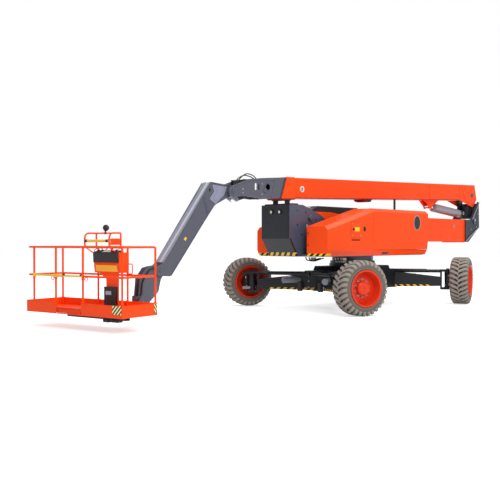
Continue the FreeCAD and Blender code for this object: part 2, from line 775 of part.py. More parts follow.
def riser_extension():
    """Inner box beam, with wear pads and the fork that carries the knuckle."""
    half = RISER_WIDTH / 2 - RISER_WALL - EXTENSION_GAP
    low = RISER_BOTTOM + RISER_WALL + EXTENSION_GAP
    high = RISER_TOP - RISER_WALL - EXTENSION_GAP
    tube = tube_box(RISER_REAR - 30, EXTENSION_FRONT - 40, 2 * half, low, high, EXTENSION_WALL)
    pads = []
    for x in (RISER_REAR + 60, EXTENSION_FRONT - 300):
        for z in (low - EXTENSION_GAP + SEAT_GAP, high):
            pads.append(box(x, x + 200, -half + 40, half - 40, z, z + EXTENSION_GAP - SEAT_GAP))
    px, pz = KNUCKLE_PIN_X, KNUCKLE_PIN_Z
    cheek = boss(px, pz, 85, [
        (RISER_REAR - 5, low), (RISER_REAR - 60, low), (px + 10, pz - 84),
        (px + 10, pz + 84), (RISER_REAR - 60, high), (RISER_REAR - 5, high)], half - 40, half)
    tie = box(RISER_REAR - 32, RISER_REAR - 6, -half + 5, half - 5, low + 5, high - 5)
    body = fuse(tube, *pads, *both_sides(cheek), tie)
    return body.cut(cross_pin(px, pz, KNUCKLE_PIN_R + PIN_FIT, -half - 5, half + 5))


def pin_travel(foot, head, pivot, degrees):
    """How much farther from the foot the head gets when it turns about the pivot."""
    (fx, fz), (hx, hz), (px, pz) = foot, head, pivot
    angle = math.radians(degrees)
    dx, dz = hx - px, hz - pz
    x = px + dx * math.cos(angle) - dz * math.sin(angle)
    z = pz + dx * math.sin(angle) + dz * math.cos(angle)
    return math.hypot(x - fx, z - fz) - math.hypot(hx - fx, hz - fz)


def cylinder_pair(foot, head, size, pins, barrel_end, travel, head_half=None):
    """Barrel with its foot eye, and rod with its head eye, in the middle plane.

    The piston stands so far down the bore that the whole outward travel is left.
    The rod's eye keeps its own pin and no other part's pin goes through it,
    because that pivot is the open one of the linkage.
    """
    (fx, fz), (hx, hz) = foot, head
    (barrel_r, rod_r), (foot_r, head_r) = size, pins
    length = math.hypot(hx - fx, hz - fz)
    ux, uz = (hx - fx) / length, (hz - fz) / length

    def along(start, end, radius):
        return rod((fx + ux * start, 0, fz + uz * start), (fx + ux * end, 0, fz + uz * end), radius)

    bore_r = barrel_r - CYLINDER_WALL
    wide = min(barrel_r, EYE_HALF_WIDTH)
    neck = barrel_r + foot_r * 0.8
    bore_from = neck + 2 * CYLINDER_WALL
    rod_from = barrel_end - GLAND - PISTON - END_CUSHION - max(travel, 0)
    eye = cross_pin(fx, fz, foot_r + 22, -wide, wide)
    shank = along(5, neck + 5, foot_r + 12)
    barrel = fuse(along(neck, barrel_end, barrel_r), eye, shank)
    barrel = barrel.cut(cross_pin(fx, fz, foot_r + PIN_FIT, -wide - 5, wide + 5))
    barrel = barrel.cut(along(bore_from, barrel_end - GLAND, bore_r))
    barrel = barrel.cut(along(bore_from, barrel_end + 5, rod_r + SEAT_GAP))
    stem = along(rod_from, length - head_r - 12, rod_r)
    piston = along(rod_from, rod_from + PISTON, bore_r - SEAT_GAP)
    half = head_half or wide
    head_eye = cross_pin(hx, hz, head_r + 18, -half, half)
    return barrel, fuse(stem, piston, head_eye)


def build_riser():
    keep("riser_base", riser_base())
    keep("riser_extension", riser_extension())
    barrel, stem = cylinder_pair(RISER_CYLINDER_FOOT, RISER_CYLINDER_HEAD,
                                 (RISER_BARREL_R, RISER_ROD_R), (35, 32), RISER_BARREL_END,
                                 pin_travel(RISER_CYLINDER_FOOT, RISER_CYLINDER_HEAD,
                                            (RISER_PIVOT_X, RISER_PIVOT_Z), -RISER_LIFT))
    keep("riser_cylinder_barrel", barrel)
    keep("riser_cylinder_rod", stem)


# ---------------------------------------------------------------- knuckle
def knuckle():
    """Two cheek plates on the riser's pin, a floor, and the ears of the boom's pivot."""
    px, pz = KNUCKLE_PIN_X, KNUCKLE_PIN_Z
    inner = RISER_WIDTH / 2 + 6 + KNUCKLE_PLATE_GAP
    outer = inner + KNUCKLE_PLATE
    cheek = side_plate([
        (px + 500, RISER_BOTTOM - 8), (px + 510, pz + 50), (px + 205, pz + 75),
        (px - 235, pz + 610), (px - 290, pz + 600), (px - 320, pz - 145),
        (px + 345, RISER_BOTTOM - 8)], inner, outer)
    half_ext = RISER_WIDTH / 2 - RISER_WALL - EXTENSION_GAP
    collar = cross_pin(px, pz, KNUCKLE_PIN_R + 35, half_ext + 0.5, inner + 2)
    pin = cross_pin(px, pz, KNUCKLE_PIN_R, -outer - 20, outer + 20)
    floor_z = pz + 100
    floor = side_plate([
        (px - 300, floor_z), (px + 195, floor_z), (px + 195, floor_z + 26), (px - 300, floor_z + 26)],
        -inner - 2, inner + 2)
    back = side_plate([
        (px - 300, floor_z), (px - 270, floor_z), (px - 240, pz + 560), (px - 270, pz + 560)],
        -inner - 2, inner + 2)
    bx, bz = BOOM_PIVOT_X, BOOM_PIVOT_Z
    cx, cz = BOOM_CYLINDER_FOOT
    ear = boss(bx, bz, 92, [
        (bx - 90, floor_z + 20), (cx + 230, floor_z + 20), (cx + 120, cz + 90),
        (bx + 90, bz), (bx - 90, bz)], 125, 160)
    boom_pin = cross_pin(bx, bz, BOOM_PIN_R, -BOOM_WIDTH / 2 - 22, BOOM_WIDTH / 2 + 22)
    foot_pin = cross_pin(cx, cz, 42, -130, 130)
    return fuse(*both_sides(cheek), *both_sides(collar), pin, floor, back,
                *both_sides(ear), boom_pin, foot_pin)


# ---------------------------------------------------------------- boom
def on_boom(shape):
    """From the boom's own frame, pivot at the origin, to where it rests."""
    shape = shape.copy()
    shape.rotate(V(0, 0, 0), V(0, 1, 0), BOOM_DROOP)
    shape.translate(V(BOOM_PIVOT_X, 0, BOOM_PIVOT_Z))
    return shape


def in_boom(x, z):
    """A place in the machine's frame as (x, z) in the boom's own frame."""
    a = math.radians(BOOM_DROOP)
    dx, dz = x - BOOM_PIVOT_X, z - BOOM_PIVOT_Z
    return dx * math.cos(a) - dz * math.sin(a), dx * math.sin(a) + dz * math.cos(a)


def boom_base():
    """Base box of the boom: cheeks round the pivot, bracket for the lift cylinder."""
    half, top = BOOM_WIDTH / 2, BOOM_TOP_OVER_PIVOT
    low, wall = top - BOOM_HEIGHT, BOOM_WALL
    tube = side_plate([
        (420, low), (BOOM_FRONT_LOW, low), (BOOM_FRONT_TOP, top), (-170, top), (-170, top - 60),
        (420, top - 60)], -half, half)
    inside = side_plate([
        (380, low + wall), (BOOM_FRONT_LOW + 20, low + wall), (BOOM_FRONT_TOP + 20, top - wall),
        (-180, top - wall), (-180, top - 70), (380, top - 70)], -half + wall, half - wall)
    cheek = side_plate([
        (-180, top - 16), (-286, -130), (-60, -341), (10, -341), (695, low), (720, low),
        (720, top - 2), (-180, top - 2)], half - wall, half + 6)
    bx, bz = in_boom(*BOOM_CYLINDER_HEAD)
    bracket = boss(bx, bz, 75, [
        (bx - 440, low + 2), (bx + 310, low + 2), (bx + 60, bz - 20), (bx - 60, bz - 20)],
        66, 96)
    bracket_pin = cross_pin(bx, bz, 45, 94, 108)
    shell = tube.cut(inside)
    base = fuse(shell, *both_sides(cheek), *both_sides(bracket), *both_sides(bracket_pin))
    return base.cut(cross_pin(0, 0, BOOM_PIN_R + PIN_FIT, -half - 20, half + 20))


def nested(x0, front_top, front_low, inset, wall):
    """A telescope section that is inset from the base box, its front cut aslant."""
    half = BOOM_WIDTH / 2 - inset
    top, low = BOOM_TOP_OVER_PIVOT - inset, BOOM_TOP_OVER_PIVOT - BOOM_HEIGHT + inset
    outline = [(x0, low), (front_low, low), (front_top, top), (x0, top)]
    inner = [(x0 - 5, low + wall), (front_low + 15, low + wall),
             (front_top + 15, top - wall), (x0 - 5, top - wall)]
    return side_plate(outline, -half, half).cut(side_plate(inner, -half + wall, half - wall))


def wear_pads(x, inset, gap):
    """Bearing pads over and under a section, a hair clear of the one outside it."""
    half = BOOM_WIDTH / 2 - inset - 50
    top, low = BOOM_TOP_OVER_PIVOT - inset, BOOM_TOP_OVER_PIVOT - BOOM_HEIGHT + inset
    high = box(x, x + 220, -half, half, top - 2, top + gap - SEAT_GAP)
    under = box(x, x + 220, -half, half, low - gap + SEAT_GAP, low + 2)
    return [high, under]


def boom_mid():
    inset = BOOM_WALL + MID_GAP
    tube = nested(700, BOOM_FRONT_TOP + 25, BOOM_FRONT_LOW + 25, inset, MID_WALL)
    pads = wear_pads(720, inset, MID_GAP) + wear_pads(BOOM_FRONT_TOP - 400, inset, MID_GAP)
    return fuse(tube, *pads)


def boom_fly():
    """Inner section with the nose that carries the jib."""
    inset = BOOM_WALL + MID_GAP + MID_WALL + FLY_GAP
    tube = nested(1100, FLY_END, FLY_END, inset, FLY_WALL)
    pads = wear_pads(1120, inset, FLY_GAP) + wear_pads(BOOM_FRONT_TOP - 500, inset, FLY_GAP)
    return fuse(on_boom(fuse(tube, *pads)), boom_nose())


def boom_nose():
    """Side plates, top, bottom and bulkhead of the nose, in the machine's frame."""
    half, wall = BOOM_WIDTH / 2, 24
    a = math.radians(BOOM_DROOP)
    top, low = BOOM_TOP_OVER_PIVOT, BOOM_TOP_OVER_PIVOT - BOOM_HEIGHT
    def world(x, z):
        return (BOOM_PIVOT_X + x * math.cos(a) + z * math.sin(a),
                BOOM_PIVOT_Z - x * math.sin(a) + z * math.cos(a))
    back_top, back_low = world(BOOM_FRONT_TOP + 70, top), world(BOOM_FRONT_LOW + 70, low)
    px, pz = JIB_PIVOT_X, JIB_PIVOT_Z
    outline = [
        back_top, (px - 800, pz + 315), (px - 400, pz + 250), (px + 40, pz + 105),
        (px + 105, pz), (px, pz - 105), (px - 400, pz - 80), (px - 900, pz - 112), back_low,
    ]
    plate = boss(px, pz, 108, outline, half - wall, half)
    plate = plate.cut(cross_pin(px - 1020, pz + 140, 65, half - wall - 5, half + 5))
    plate = plate.cut(side_plate([
        (px - 770, pz + 70), (px - 730, pz + 70), (px - 730, pz + 190), (px - 770, pz + 190)],
        half - wall - 5, half + 5))
    lid = side_plate([
        back_top, (px - 800, pz + 315), (px - 800, pz + 295), (back_top[0], back_top[1] - 20)],
        -half + 4, half - 4)
    sole = side_plate([
        back_low, (px - 900, pz - 112), (px - 900, pz - 92), (back_low[0], back_low[1] + 20)],
        -half + 4, half - 4)
    bulk_x = px - 1110
    bulkhead = box(bulk_x, bulk_x + 25, -half + 4, half - 4, pz - 100, pz + 335)
    fx, fz = JIB_CYLINDER_FOOT
    foot_pin = cross_pin(fx, fz, 30, -half + 6, half - 6)
    nose = fuse(*both_sides(plate), lid, sole, bulkhead, foot_pin)
    return nose.cut(cross_pin(px, pz, JIB_PIN_R + PIN_FIT, -half - 20, half + 20))


def build_boom():
    keep("knuckle", knuckle())
    keep("boom_base", on_boom(boom_base()))
    keep("boom_mid", on_boom(boom_mid()))
    keep("boom_fly", boom_fly())
    barrel, stem = cylinder_pair(BOOM_CYLINDER_FOOT, BOOM_CYLINDER_HEAD,
                                 (BOOM_BARREL_R, BOOM_ROD_R), (42, 45), BOOM_BARREL_END,
                                 pin_travel(BOOM_CYLINDER_FOOT, BOOM_CYLINDER_HEAD,
                                            (BOOM_PIVOT_X, BOOM_PIVOT_Z), BOOM_LIFT))
    keep("boom_cylinder_barrel", barrel)
    keep("boom_cylinder_rod", stem)


# ---------------------------------------------------------------- jib
def jib_arm():
    """Goose-neck box arm with the jib's pivot tube, its lug and the fork at the tip."""
    half, wall = JIB_WIDTH / 2, JIB_WALL
    px, pz, tx, tz = JIB_PIVOT_X, JIB_PIVOT_Z, TIP_X, TIP_Z
    outline = [
        (px - 70, pz + 60), (px - 30, pz + 125), (px + 500, pz + 165), (tx - 75, tz + 140),
        (tx + 85, tz + 40), (tx + 85, tz - 30), (tx + 10, tz - 95), (tx - 235, tz - 110),
        (px + 435, pz - 315), (px + 380, pz - 270), (px + 20, pz - 105), (px - 90, pz - 100),
    ]
    body = side_plate(outline, -half, half)
    hollow = side_plate([
        (px + 120, pz + 120), (px + 494, pz + 153), (tx - 82, tz + 124), (tx + 30, tz + 100),
        (tx + 100, tz + 100), (tx + 100, tz - 120), (tx - 232, tz - 120), (tx - 330, tz - 30),
        (tx - 335, tz + 20), (px + 440, pz - 298), (px + 384, pz - 256), (px + 120, pz - 136),
    ], -half + wall, half - wall)
    # the underside and the end are open where the platform's bracket swings through
    under = side_plate([
        (tx - 232, tz - 140), (tx - 560, tz + 230), (tx - 480, tz + 330), (tx - 60, tz + 10)],
        -half + wall, half - wall)
    sweep = cross_pin(tx, tz, 180, -half + wall, half - wall)
    body = body.cut(hollow).cut(under).cut(sweep)
    pivot = cross_pin(px, pz, JIB_PIN_R + 32, -BOOM_WIDTH / 2 + 29, BOOM_WIDTH / 2 - 29)
    pin = cross_pin(px, pz, JIB_PIN_R, -BOOM_WIDTH / 2 - 14, BOOM_WIDTH / 2 + 14)
    hx, hz = JIB_CYLINDER_HEAD
    lug = boss(hx, hz, 50, [
        (hx - 40, hz + 30), (px - 30, pz + 50), (px + 10, pz - 60), (px - 40, pz - 100),
        (hx + 10, hz - 49)], EYE_HALF_WIDTH + 4, EYE_HALF_WIDTH + 32)
    lug_pin = cross_pin(hx, hz, 28, EYE_HALF_WIDTH + 30, EYE_HALF_WIDTH + 42)
    tip_ring = cross_pin(tx, tz, 95, half - wall, half + 8)
    tip_pin = cross_pin(tx, tz, TIP_PIN_R, -half - 14, half + 14)
    lx, lz = LEVEL_FOOT
    level_pin = cross_pin(lx, lz, 22, -half + 2, half - 2)
    return fuse(body, pivot, pin, *both_sides(lug), *both_sides(lug_pin), *both_sides(tip_ring),
                tip_pin, level_pin)


def level_yoke():
    """Sleeve on the tip pin with the twin crank that the levelling cylinder pushes."""
    ex, ez = LEVEL_EYE
    inner = LEVEL_EYE_HALF + EYE_ROOM
    sleeve = cross_pin(TIP_X, TIP_Z, YOKE_R, -105, 105)
    flange = cross_pin(TIP_X, TIP_Z, 75, 85, 105)
    arm = boss(TIP_X, TIP_Z, 80, [
        (TIP_X - 76, TIP_Z - 20), (TIP_X + 78, TIP_Z - 20), (ex + 43, ez - 10), (ex - 43, ez + 10)],
        inner, inner + CRANK_PLATE)
    end = cross_pin(ex, ez, 44, inner, inner + CRANK_PLATE)
    yoke = fuse(sleeve, *both_sides(flange), *both_sides(fuse(arm, end)))
    return yoke.cut(cross_pin(TIP_X, TIP_Z, TIP_PIN_R + PIN_FIT, -110, 110))


def platform_support():
    """Twin-plate bracket from the levelling pivot to the rotator's upright barrel."""
    tx, tz, rx = TIP_X, TIP_Z, ROTATOR_X
    outline = [
        (tx - 10, tz + 88), (tx + 130, tz + 90), (tx + 270, tz + 60), (tx + 420, tz - 120),
        (rx + 40, ROTATOR_HIGH - 10), (rx - 20, ROTATOR_LOW + 20), (rx - 180, ROTATOR_LOW + 60),
        (tx + 25, tz - 405), (tx - 5, tz - 360), (tx - 88, tz - 20), (tx - 70, tz + 50)]
    plate = boss(tx, tz, 88, outline, 50, 75)
    barrel = upright(rx, 0, ROTATOR_R, ROTATOR_LOW, ROTATOR_HIGH)
    web = side_plate([
        (tx + 375, tz - 215), (tx + 395, tz - 205), (rx - 60, ROTATOR_HIGH - 30),
        (rx - 80, ROTATOR_HIGH - 40)], -52, 52)
    body = fuse(*both_sides(plate), barrel, web)
    body = body.cut(cross_pin(tx, tz, YOKE_R + PIN_FIT, -80, 80))
    return body.cut(upright(rx, 0, SPIGOT_R + PIN_FIT, ROTATOR_LOW - 5, ROTATOR_HIGH + 5))


def build_jib():
    keep("jib_arm", jib_arm())
    barrel, stem = cylinder_pair(JIB_CYLINDER_FOOT, JIB_CYLINDER_HEAD,
                                 (JIB_BARREL_R, JIB_ROD_R), (30, 28), JIB_BARREL_END,
                                 pin_travel(JIB_CYLINDER_FOOT, JIB_CYLINDER_HEAD,
                                            (JIB_PIVOT_X, JIB_PIVOT_Z), JIB_DROP))
    keep("jib_cylinder_barrel", barrel)
    keep("jib_cylinder_rod", stem)
    keep("level_yoke", level_yoke())
    keep("platform_support", platform_support())
    barrel, stem = cylinder_pair(LEVEL_FOOT, LEVEL_EYE,
                                 (LEVEL_BARREL_R, LEVEL_ROD_R), (22, 20), LEVEL_BARREL_END,
                                 pin_travel(LEVEL_FOOT, LEVEL_EYE, (TIP_X, TIP_Z), -JIB_DROP),
                                 LEVEL_EYE_HALF)
    keep("level_cylinder_barrel", barrel)
    keep("level_cylinder_rod", stem)


# ---------------------------------------------------------------- platform
def on_platform(shape):
    """From the platform's frame, rotator at the origin, to where it stands."""
    shape = shape.copy()
    shape.rotate(V(0, 0, 0), V(0, 0, 1), PLATFORM_TURN)
    shape.translate(V(ROTATOR_X, 0, 0))
    return shape


def platform_edges():
    """x of the back and front rails, y of the far and near ends."""
    return (PLATFORM_BACK, PLATFORM_BACK + PLATFORM_DEPTH,
            PLATFORM_NEAR - PLATFORM_LENGTH, PLATFORM_NEAR)


def platform_floor():
    """Floor, toe boards, beam and the spigot that turns in the rotator."""
    x0, x1, y0, y1 = platform_edges()
    deck_plate = box(x0, x1, y0, y1, FLOOR_TOP - FLOOR_PLATE, FLOOR_TOP)
    bearers = [box(x0, x1, y, y + BEARER_WALL, FLOOR_BOTTOM, FLOOR_TOP - 2)
               for y in (y0, y0 + 600, -350, 110, y1 - BEARER_WALL)]
    sills = [box(x, x + BEARER_WALL, y0, y1, FLOOR_BOTTOM, FLOOR_TOP - 2)
             for x in (x0, x1 - BEARER_WALL)]
    toe = box(x0, x1, y0, y1, FLOOR_TOP - 2, TOE_TOP).cut(
        box(x0 + TOE_WALL, x1 - TOE_WALL, y0 + TOE_WALL, y1 - TOE_WALL, FLOOR_TOP - 3, TOE_TOP + 1))
    step = box(x1 - 2, x1 + 30, GATE_POSTS[1] + 30, GATE_POSTS[2] - 30,
               FLOOR_BOTTOM + 15, FLOOR_TOP + 34)
    toe = toe.cut(box(x1 - 30, x1 + 30, GATE_POSTS[1] + 24, GATE_POSTS[2] - 24,
                      FLOOR_TOP + 34, TOE_TOP + 1))
    recess = step.copy()
    recess.translate(V(-22, 0, 0))
    sills[1] = sills[1].cut(recess)
    toe = toe.cut(recess)
    liner = box(x1 - 28, x1 - 23, GATE_POSTS[1] + 30, GATE_POSTS[2] - 30,
                FLOOR_BOTTOM + 15, FLOOR_TOP + 34)
    beam = box(x0 + 330, x0 + 430, y0 + 620, y1 - 330, FLOOR_BOTTOM - 90, FLOOR_BOTTOM + 2)
    beam = beam.cut(box(x0 + 338, x0 + 422, y0 + 600, y1 - 300, FLOOR_BOTTOM - 82, FLOOR_BOTTOM - 6))
    tongue = box(-ROTATOR_R, x0 + 400, -70, 70, FLOOR_BOTTOM - 20, FLOOR_BOTTOM + 30)
    spigot = upright(0, 0, SPIGOT_R, FLOOR_BOTTOM, ROTATOR_HIGH - 12)
    shoulder = upright(0, 0, ROTATOR_R, FLOOR_BOTTOM - 20, ROTATOR_LOW - 5)
    return fuse(deck_plate, *bearers, *sills, toe, liner, beam, tongue, spigot, shoulder)


def ring_rail(z, radius=RAIL_R - 1):
    """A rail right round the platform, its axis on the frame's line."""
    x0, x1, y0, y1 = platform_edges()
    r = RAIL_INSET
    corners = [(x0 + r, y0 + r), (x1 - r, y0 + r), (x1 - r, y1 - r), (x0 + r, y1 - r)]
    bars = []
    for (xa, ya), (xb, yb) in zip(corners, corners[1:] + corners[:1]):
        bars.append(rod((xa, ya, z), (xb, yb, z), radius))
    return bars


def platform_rails():
    """Posts, mid rails, top rail, collars under the gate and the guard over the console."""
    x0, x1, y0, y1 = platform_edges()
    r, inset = RAIL_R, RAIL_INSET
    low = FLOOR_TOP + SEAT_GAP
    back = [(x0 + inset, y) for y in (y0 + inset, *BACK_POSTS, y1 - inset)]
    front = [(x1 - inset, y) for y in (*GATE_POSTS, y1 - inset)]
    posts = [upright(x, y, r, low, TOP_RAIL_Z) for x, y in back + front]
    gate_gap = box(x1 - 60, x1 + 30, GATE_POSTS[0], GATE_POSTS[2], MID_RAIL_Z - 40, MID_RAIL_Z + 40)
    rings = fuse(*ring_rail(MID_RAIL_Z)).cut(gate_gap)
    rings = fuse(rings, *ring_rail(TOP_RAIL_Z))
    xa, xb = x0 + inset, x0 + GUARD_DEPTH
    guard = []
    for y in (GUARD_FAR_Y, GUARD_NEAR_Y):
        for x in (xa, xb):
            guard.append(upright(x, y, r - 3, TOP_RAIL_Z, GUARD_Z))
        for z in (TOP_RAIL_Z, GUARD_Z):
            guard.append(rod((xa, y, z), (xb, y, z), r - 3))
        guard += [Part.makeSphere(r - 3, V(x, y, GUARD_Z)) for x in (xa, xb)]
        guard.append(Part.makeSphere(r - 3, V(xb, y, TOP_RAIL_Z)))
    guard.append(rod((xa, GUARD_FAR_Y, GUARD_Z), (xa, GUARD_NEAR_Y, GUARD_Z), r - 5))
    collars = [upright(x1 - inset, y, r + 8, MID_RAIL_Z - GATE_SLEEVE - 25, MID_RAIL_Z - GATE_SLEEVE)
               for y in GATE_POSTS]
    return fuse(rings, *posts, *guard, *collars)


def platform_gate():
    """Mid bars across the entry, which slide up the posts together: half sleeves at the ends."""
    x = platform_edges()[1] - RAIL_INSET
    low, high = MID_RAIL_Z - GATE_SLEEVE + SEAT_GAP, MID_RAIL_Z + GATE_SLEEVE
    far, middle, near = GATE_POSTS
    sleeves = [upright(x, y, RAIL_R + 8, low, high) for y in GATE_POSTS]
    bars = [rod((x, far, MID_RAIL_Z), (x, near, MID_RAIL_Z), RAIL_R - 2)]
    grip = box(x - 12, x + 24, middle + 20, middle + 190, MID_RAIL_Z - 24, MID_RAIL_Z + 24)
    gate = fuse(*sleeves, *bars, grip)
    for y in GATE_POSTS:
        gate = gate.cut(upright(x, y, RAIL_R + PIN_FIT, low - 10, high + 10))
    return gate.common(box(x - 60, x + 60, far + 1, near - 1, low, high))


def control_console():
    """Folded cabinet hung inside the back rails, a tapering plate down from it, its control box."""
    x0, x1, y0, y1 = platform_edges()
    far, near = CONSOLE_Y, CONSOLE_Y + CONSOLE_LENGTH
    xa = x0 + RAIL_INSET + RAIL_R + SEAT_GAP
    xb = xa + CONSOLE_DEPTH
    cabinet = side_plate([
        (xa, CONSOLE_WAIST), (xb - 22, CONSOLE_WAIST), (xb, CONSOLE_WAIST + 150),
        (xb, CONSOLE_TOP - 100), (xb - 60, CONSOLE_TOP), (xa, CONSOLE_TOP)], far, near)
    hollow = side_plate([
        (xa + 4, CONSOLE_WAIST + 4), (xb - 26, CONSOLE_WAIST + 4), (xb - 4, CONSOLE_WAIST + 152),
        (xb - 4, CONSOLE_TOP - 102), (xb - 62, CONSOLE_TOP - 4), (xa + 4, CONSOLE_TOP - 4)],
        far + 4, near - 4)
    neck = front_plate([
        (far + 110, CONSOLE_WAIST + 2), (far + 290, CONSOLE_WAIST - 110),
        (far + 300, FLOOR_TOP + SEAT_GAP), (near - 42, FLOOR_TOP + SEAT_GAP),
        (near - 42, CONSOLE_WAIST + 2)], xb - NECK_PLATE - 22, xb - 22)
    controls = side_plate([
        (xb - 12, CONSOLE_TOP - 175), (xb + 16, CONSOLE_TOP - 175), (xb + 24, CONSOLE_TOP - 15),
        (xb + 8, CONSOLE_TOP + 2), (xb - 90, CONSOLE_TOP + 35), (xb - 125, CONSOLE_TOP + 28),
        (xb - 125, CONSOLE_TOP - 10)], far + 4, near - 20)
    controls_room = side_plate([
        (xb - 12, CONSOLE_TOP - 150), (xb + 11, CONSOLE_TOP - 169), (xb + 18, CONSOLE_TOP - 18),
        (xb + 5, CONSOLE_TOP - 4), (xb - 90, CONSOLE_TOP + 28), (xb - 119, CONSOLE_TOP + 22),
        (xb - 119, CONSOLE_TOP - 12)], far + 10, near - 26)
    return fuse(fuse(cabinet, neck).cut(hollow), controls).cut(controls_room)


def document_box():
    """Open-topped box on the front of the console's lower plate."""
    x0, x1, y0, y1 = platform_edges()
    xa = x0 + RAIL_INSET + RAIL_R + SEAT_GAP + CONSOLE_DEPTH - 22 + SEAT_GAP
    far, near = CONSOLE_Y + 288, CONSOLE_Y + CONSOLE_LENGTH - 66
    low, high = CONSOLE_LOW - 330, CONSOLE_LOW
    outer = box(xa, xa + DOCUMENT_DEPTH, far, near, low, high)
    return outer.cut(box(xa + 4, xa + DOCUMENT_DEPTH - 4, far + 4, near - 4, low + 4, high + 5))


def sensor_bar():
    """Soft bar over the console, between the guard's two hoops."""
    x, z = platform_edges()[0] + GUARD_DEPTH, (GUARD_Z + TOP_RAIL_Z) / 2 - 15
    reach = RAIL_R - 3 + SEAT_GAP
    return rod((x, GUARD_FAR_Y + reach, z), (x, GUARD_NEAR_Y - reach, z), 24)


def build_platform():
    keep("platform_floor", on_platform(platform_floor()))
    keep("platform_rails", on_platform(platform_rails()))
    keep("platform_gate", on_platform(platform_gate()))
    keep("control_console", on_platform(control_console()))
    keep("document_box", on_platform(document_box()))
    keep("sensor_bar", on_platform(sensor_bar()))


# ---------------------------------------------------------------- all
def main():
    build_wheels()
    build_chassis()
    build_turntable()
    build_riser()
    build_boom()
    build_jib()
    build_platform()
    os.makedirs("parts", exist_ok=True)
    for name, shape in PARTS.items():
        placed = shape.copy()
        placed.translate(V(SLEW_X, 0, 0))
        placed.exportStep("parts/" + name + ".step")
        box_ = placed.BoundBox
        print("%-24s solids %d valid %s x %.0f..%.0f y %.0f..%.0f z %.0f..%.0f" % (
            name, len(placed.Solids), placed.isValid(), box_.XMin, box_.XMax,
            box_.YMin, box_.YMax, box_.ZMin, box_.ZMax))


main()
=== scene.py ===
"""Looks of an articulated telescopic boom lift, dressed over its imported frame.

Metres. +X runs forward to the work platform, +Y to the machine's left, +Z up.
"""
import json
import math

import bmesh
import bpy
import numpy as np
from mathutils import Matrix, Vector


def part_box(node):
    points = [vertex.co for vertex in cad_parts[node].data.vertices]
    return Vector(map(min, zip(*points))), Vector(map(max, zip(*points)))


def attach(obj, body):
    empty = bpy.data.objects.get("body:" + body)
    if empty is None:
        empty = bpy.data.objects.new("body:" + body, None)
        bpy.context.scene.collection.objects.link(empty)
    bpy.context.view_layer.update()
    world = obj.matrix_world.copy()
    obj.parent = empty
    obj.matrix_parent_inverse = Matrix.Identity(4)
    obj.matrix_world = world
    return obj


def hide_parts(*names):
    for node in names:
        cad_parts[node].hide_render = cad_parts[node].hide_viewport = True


bl_info = {
    "name": "Boom Lift Dresser",
    "version": (1, 0, 0),
    "blender": (4, 5, 0),
    "location": "3D View > Sidebar > Boom Lift",
    "description": "Builds the paint, tyres, hoses, rails and fittings of a boom lift",
    "category": "Object",
}

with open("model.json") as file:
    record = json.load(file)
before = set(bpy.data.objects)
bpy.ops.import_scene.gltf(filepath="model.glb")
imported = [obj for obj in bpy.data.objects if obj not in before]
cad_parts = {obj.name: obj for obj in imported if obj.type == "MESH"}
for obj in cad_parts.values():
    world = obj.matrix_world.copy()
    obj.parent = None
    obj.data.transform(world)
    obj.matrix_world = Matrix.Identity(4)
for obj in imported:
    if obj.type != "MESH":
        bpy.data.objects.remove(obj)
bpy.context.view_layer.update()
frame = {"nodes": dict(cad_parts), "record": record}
NODES = frame["nodes"]
JOINTS = {joint["name"]: joint for joint in frame["record"]["behaviour"]["joints"]}
CORNERS = ("front_left", "front_right", "rear_left", "rear_right")


def low(node):
    """Least corner of a node's box."""
    return np.array(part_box(node)[0])


def high(node):
    """Greatest corner of a node's box."""
    return np.array(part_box(node)[1])


def joint_at(name):
    """Place of a hinge as an array."""
    return np.array(JOINTS[name]["pos_m"])


# ---------------------------------------------------------------- sizes
def turn_about_z(degrees):
    """Matrix that turns column vectors about the upright axis."""
    a = math.radians(degrees)
    return np.array([[math.cos(a), -math.sin(a), 0], [math.sin(a), math.cos(a), 0], [0, 0, 1]])


SLEW = joint_at("slew") * np.array([1, 1, 0])
ROTATOR = joint_at("platform_rotate") * np.array([1, 1, 0])
PLATFORM_TURN = 8.4
PLATFORM_MATRIX = turn_about_z(PLATFORM_TURN)
BOOM_DROOP = math.radians(2.0)
SHARP = 35  # degrees between faces, above which an edge stays sharp


def on_platform(points):
    """Points of the platform's own frame, rotator at its origin, put in the row frame."""
    return np.asarray(points, float) @ PLATFORM_MATRIX.T + ROTATOR


def about_slew(points):
    """Points given about the slewing axis, put in the row frame."""
    return np.asarray(points, float) + SLEW


def on_boom(points):
    """Points of the boom's own frame, its pivot at the origin, put in the row frame."""
    c, s = math.cos(BOOM_DROOP), math.sin(BOOM_DROOP)
    matrix = np.array([[c, 0, s], [0, 1, 0], [-s, 0, c]])
    return np.asarray(points, float) @ matrix.T + joint_at("boom_lift")


# ---------------------------------------------------------------- mesh making
def new_piece(name, verts, faces, material, body):
    """A mesh object at the origin, its place in its vertices, riding on a body."""
    mesh = bpy.data.meshes.new(name)
    mesh.from_pydata(np.asarray(verts, float).tolist(), [], [list(map(int, f)) for f in faces])
    mesh.validate()
    mesh.materials.append(material)
    piece = bpy.data.objects.new(name, mesh)
    bpy.context.scene.collection.objects.link(piece)
    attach(piece, body)
    return piece


def grid_faces(rows, columns, wrap_rows=False, wrap_columns=False):
    """Quads of a grid of rows by columns points, joined end to end where it wraps."""
    r = np.arange(rows if wrap_rows else rows - 1)
    c = np.arange(columns if wrap_columns else columns - 1)
    r, c = (a.ravel() for a in np.meshgrid(r, c, indexing="ij"))
    r1, c1 = (r + 1) % rows, (c + 1) % columns
    return np.stack([r * columns + c, r1 * columns + c, r1 * columns + c1, r * columns + c1], 1)


def gather(parts):
    """Several (verts, faces) shapes as one."""
    verts, faces, base = [], [], 0
    for v, f in parts:
        verts.append(np.asarray(v, float))
        faces += [[int(i) + base for i in face] for face in f]
        base += len(v)
    return np.concatenate(verts), faces


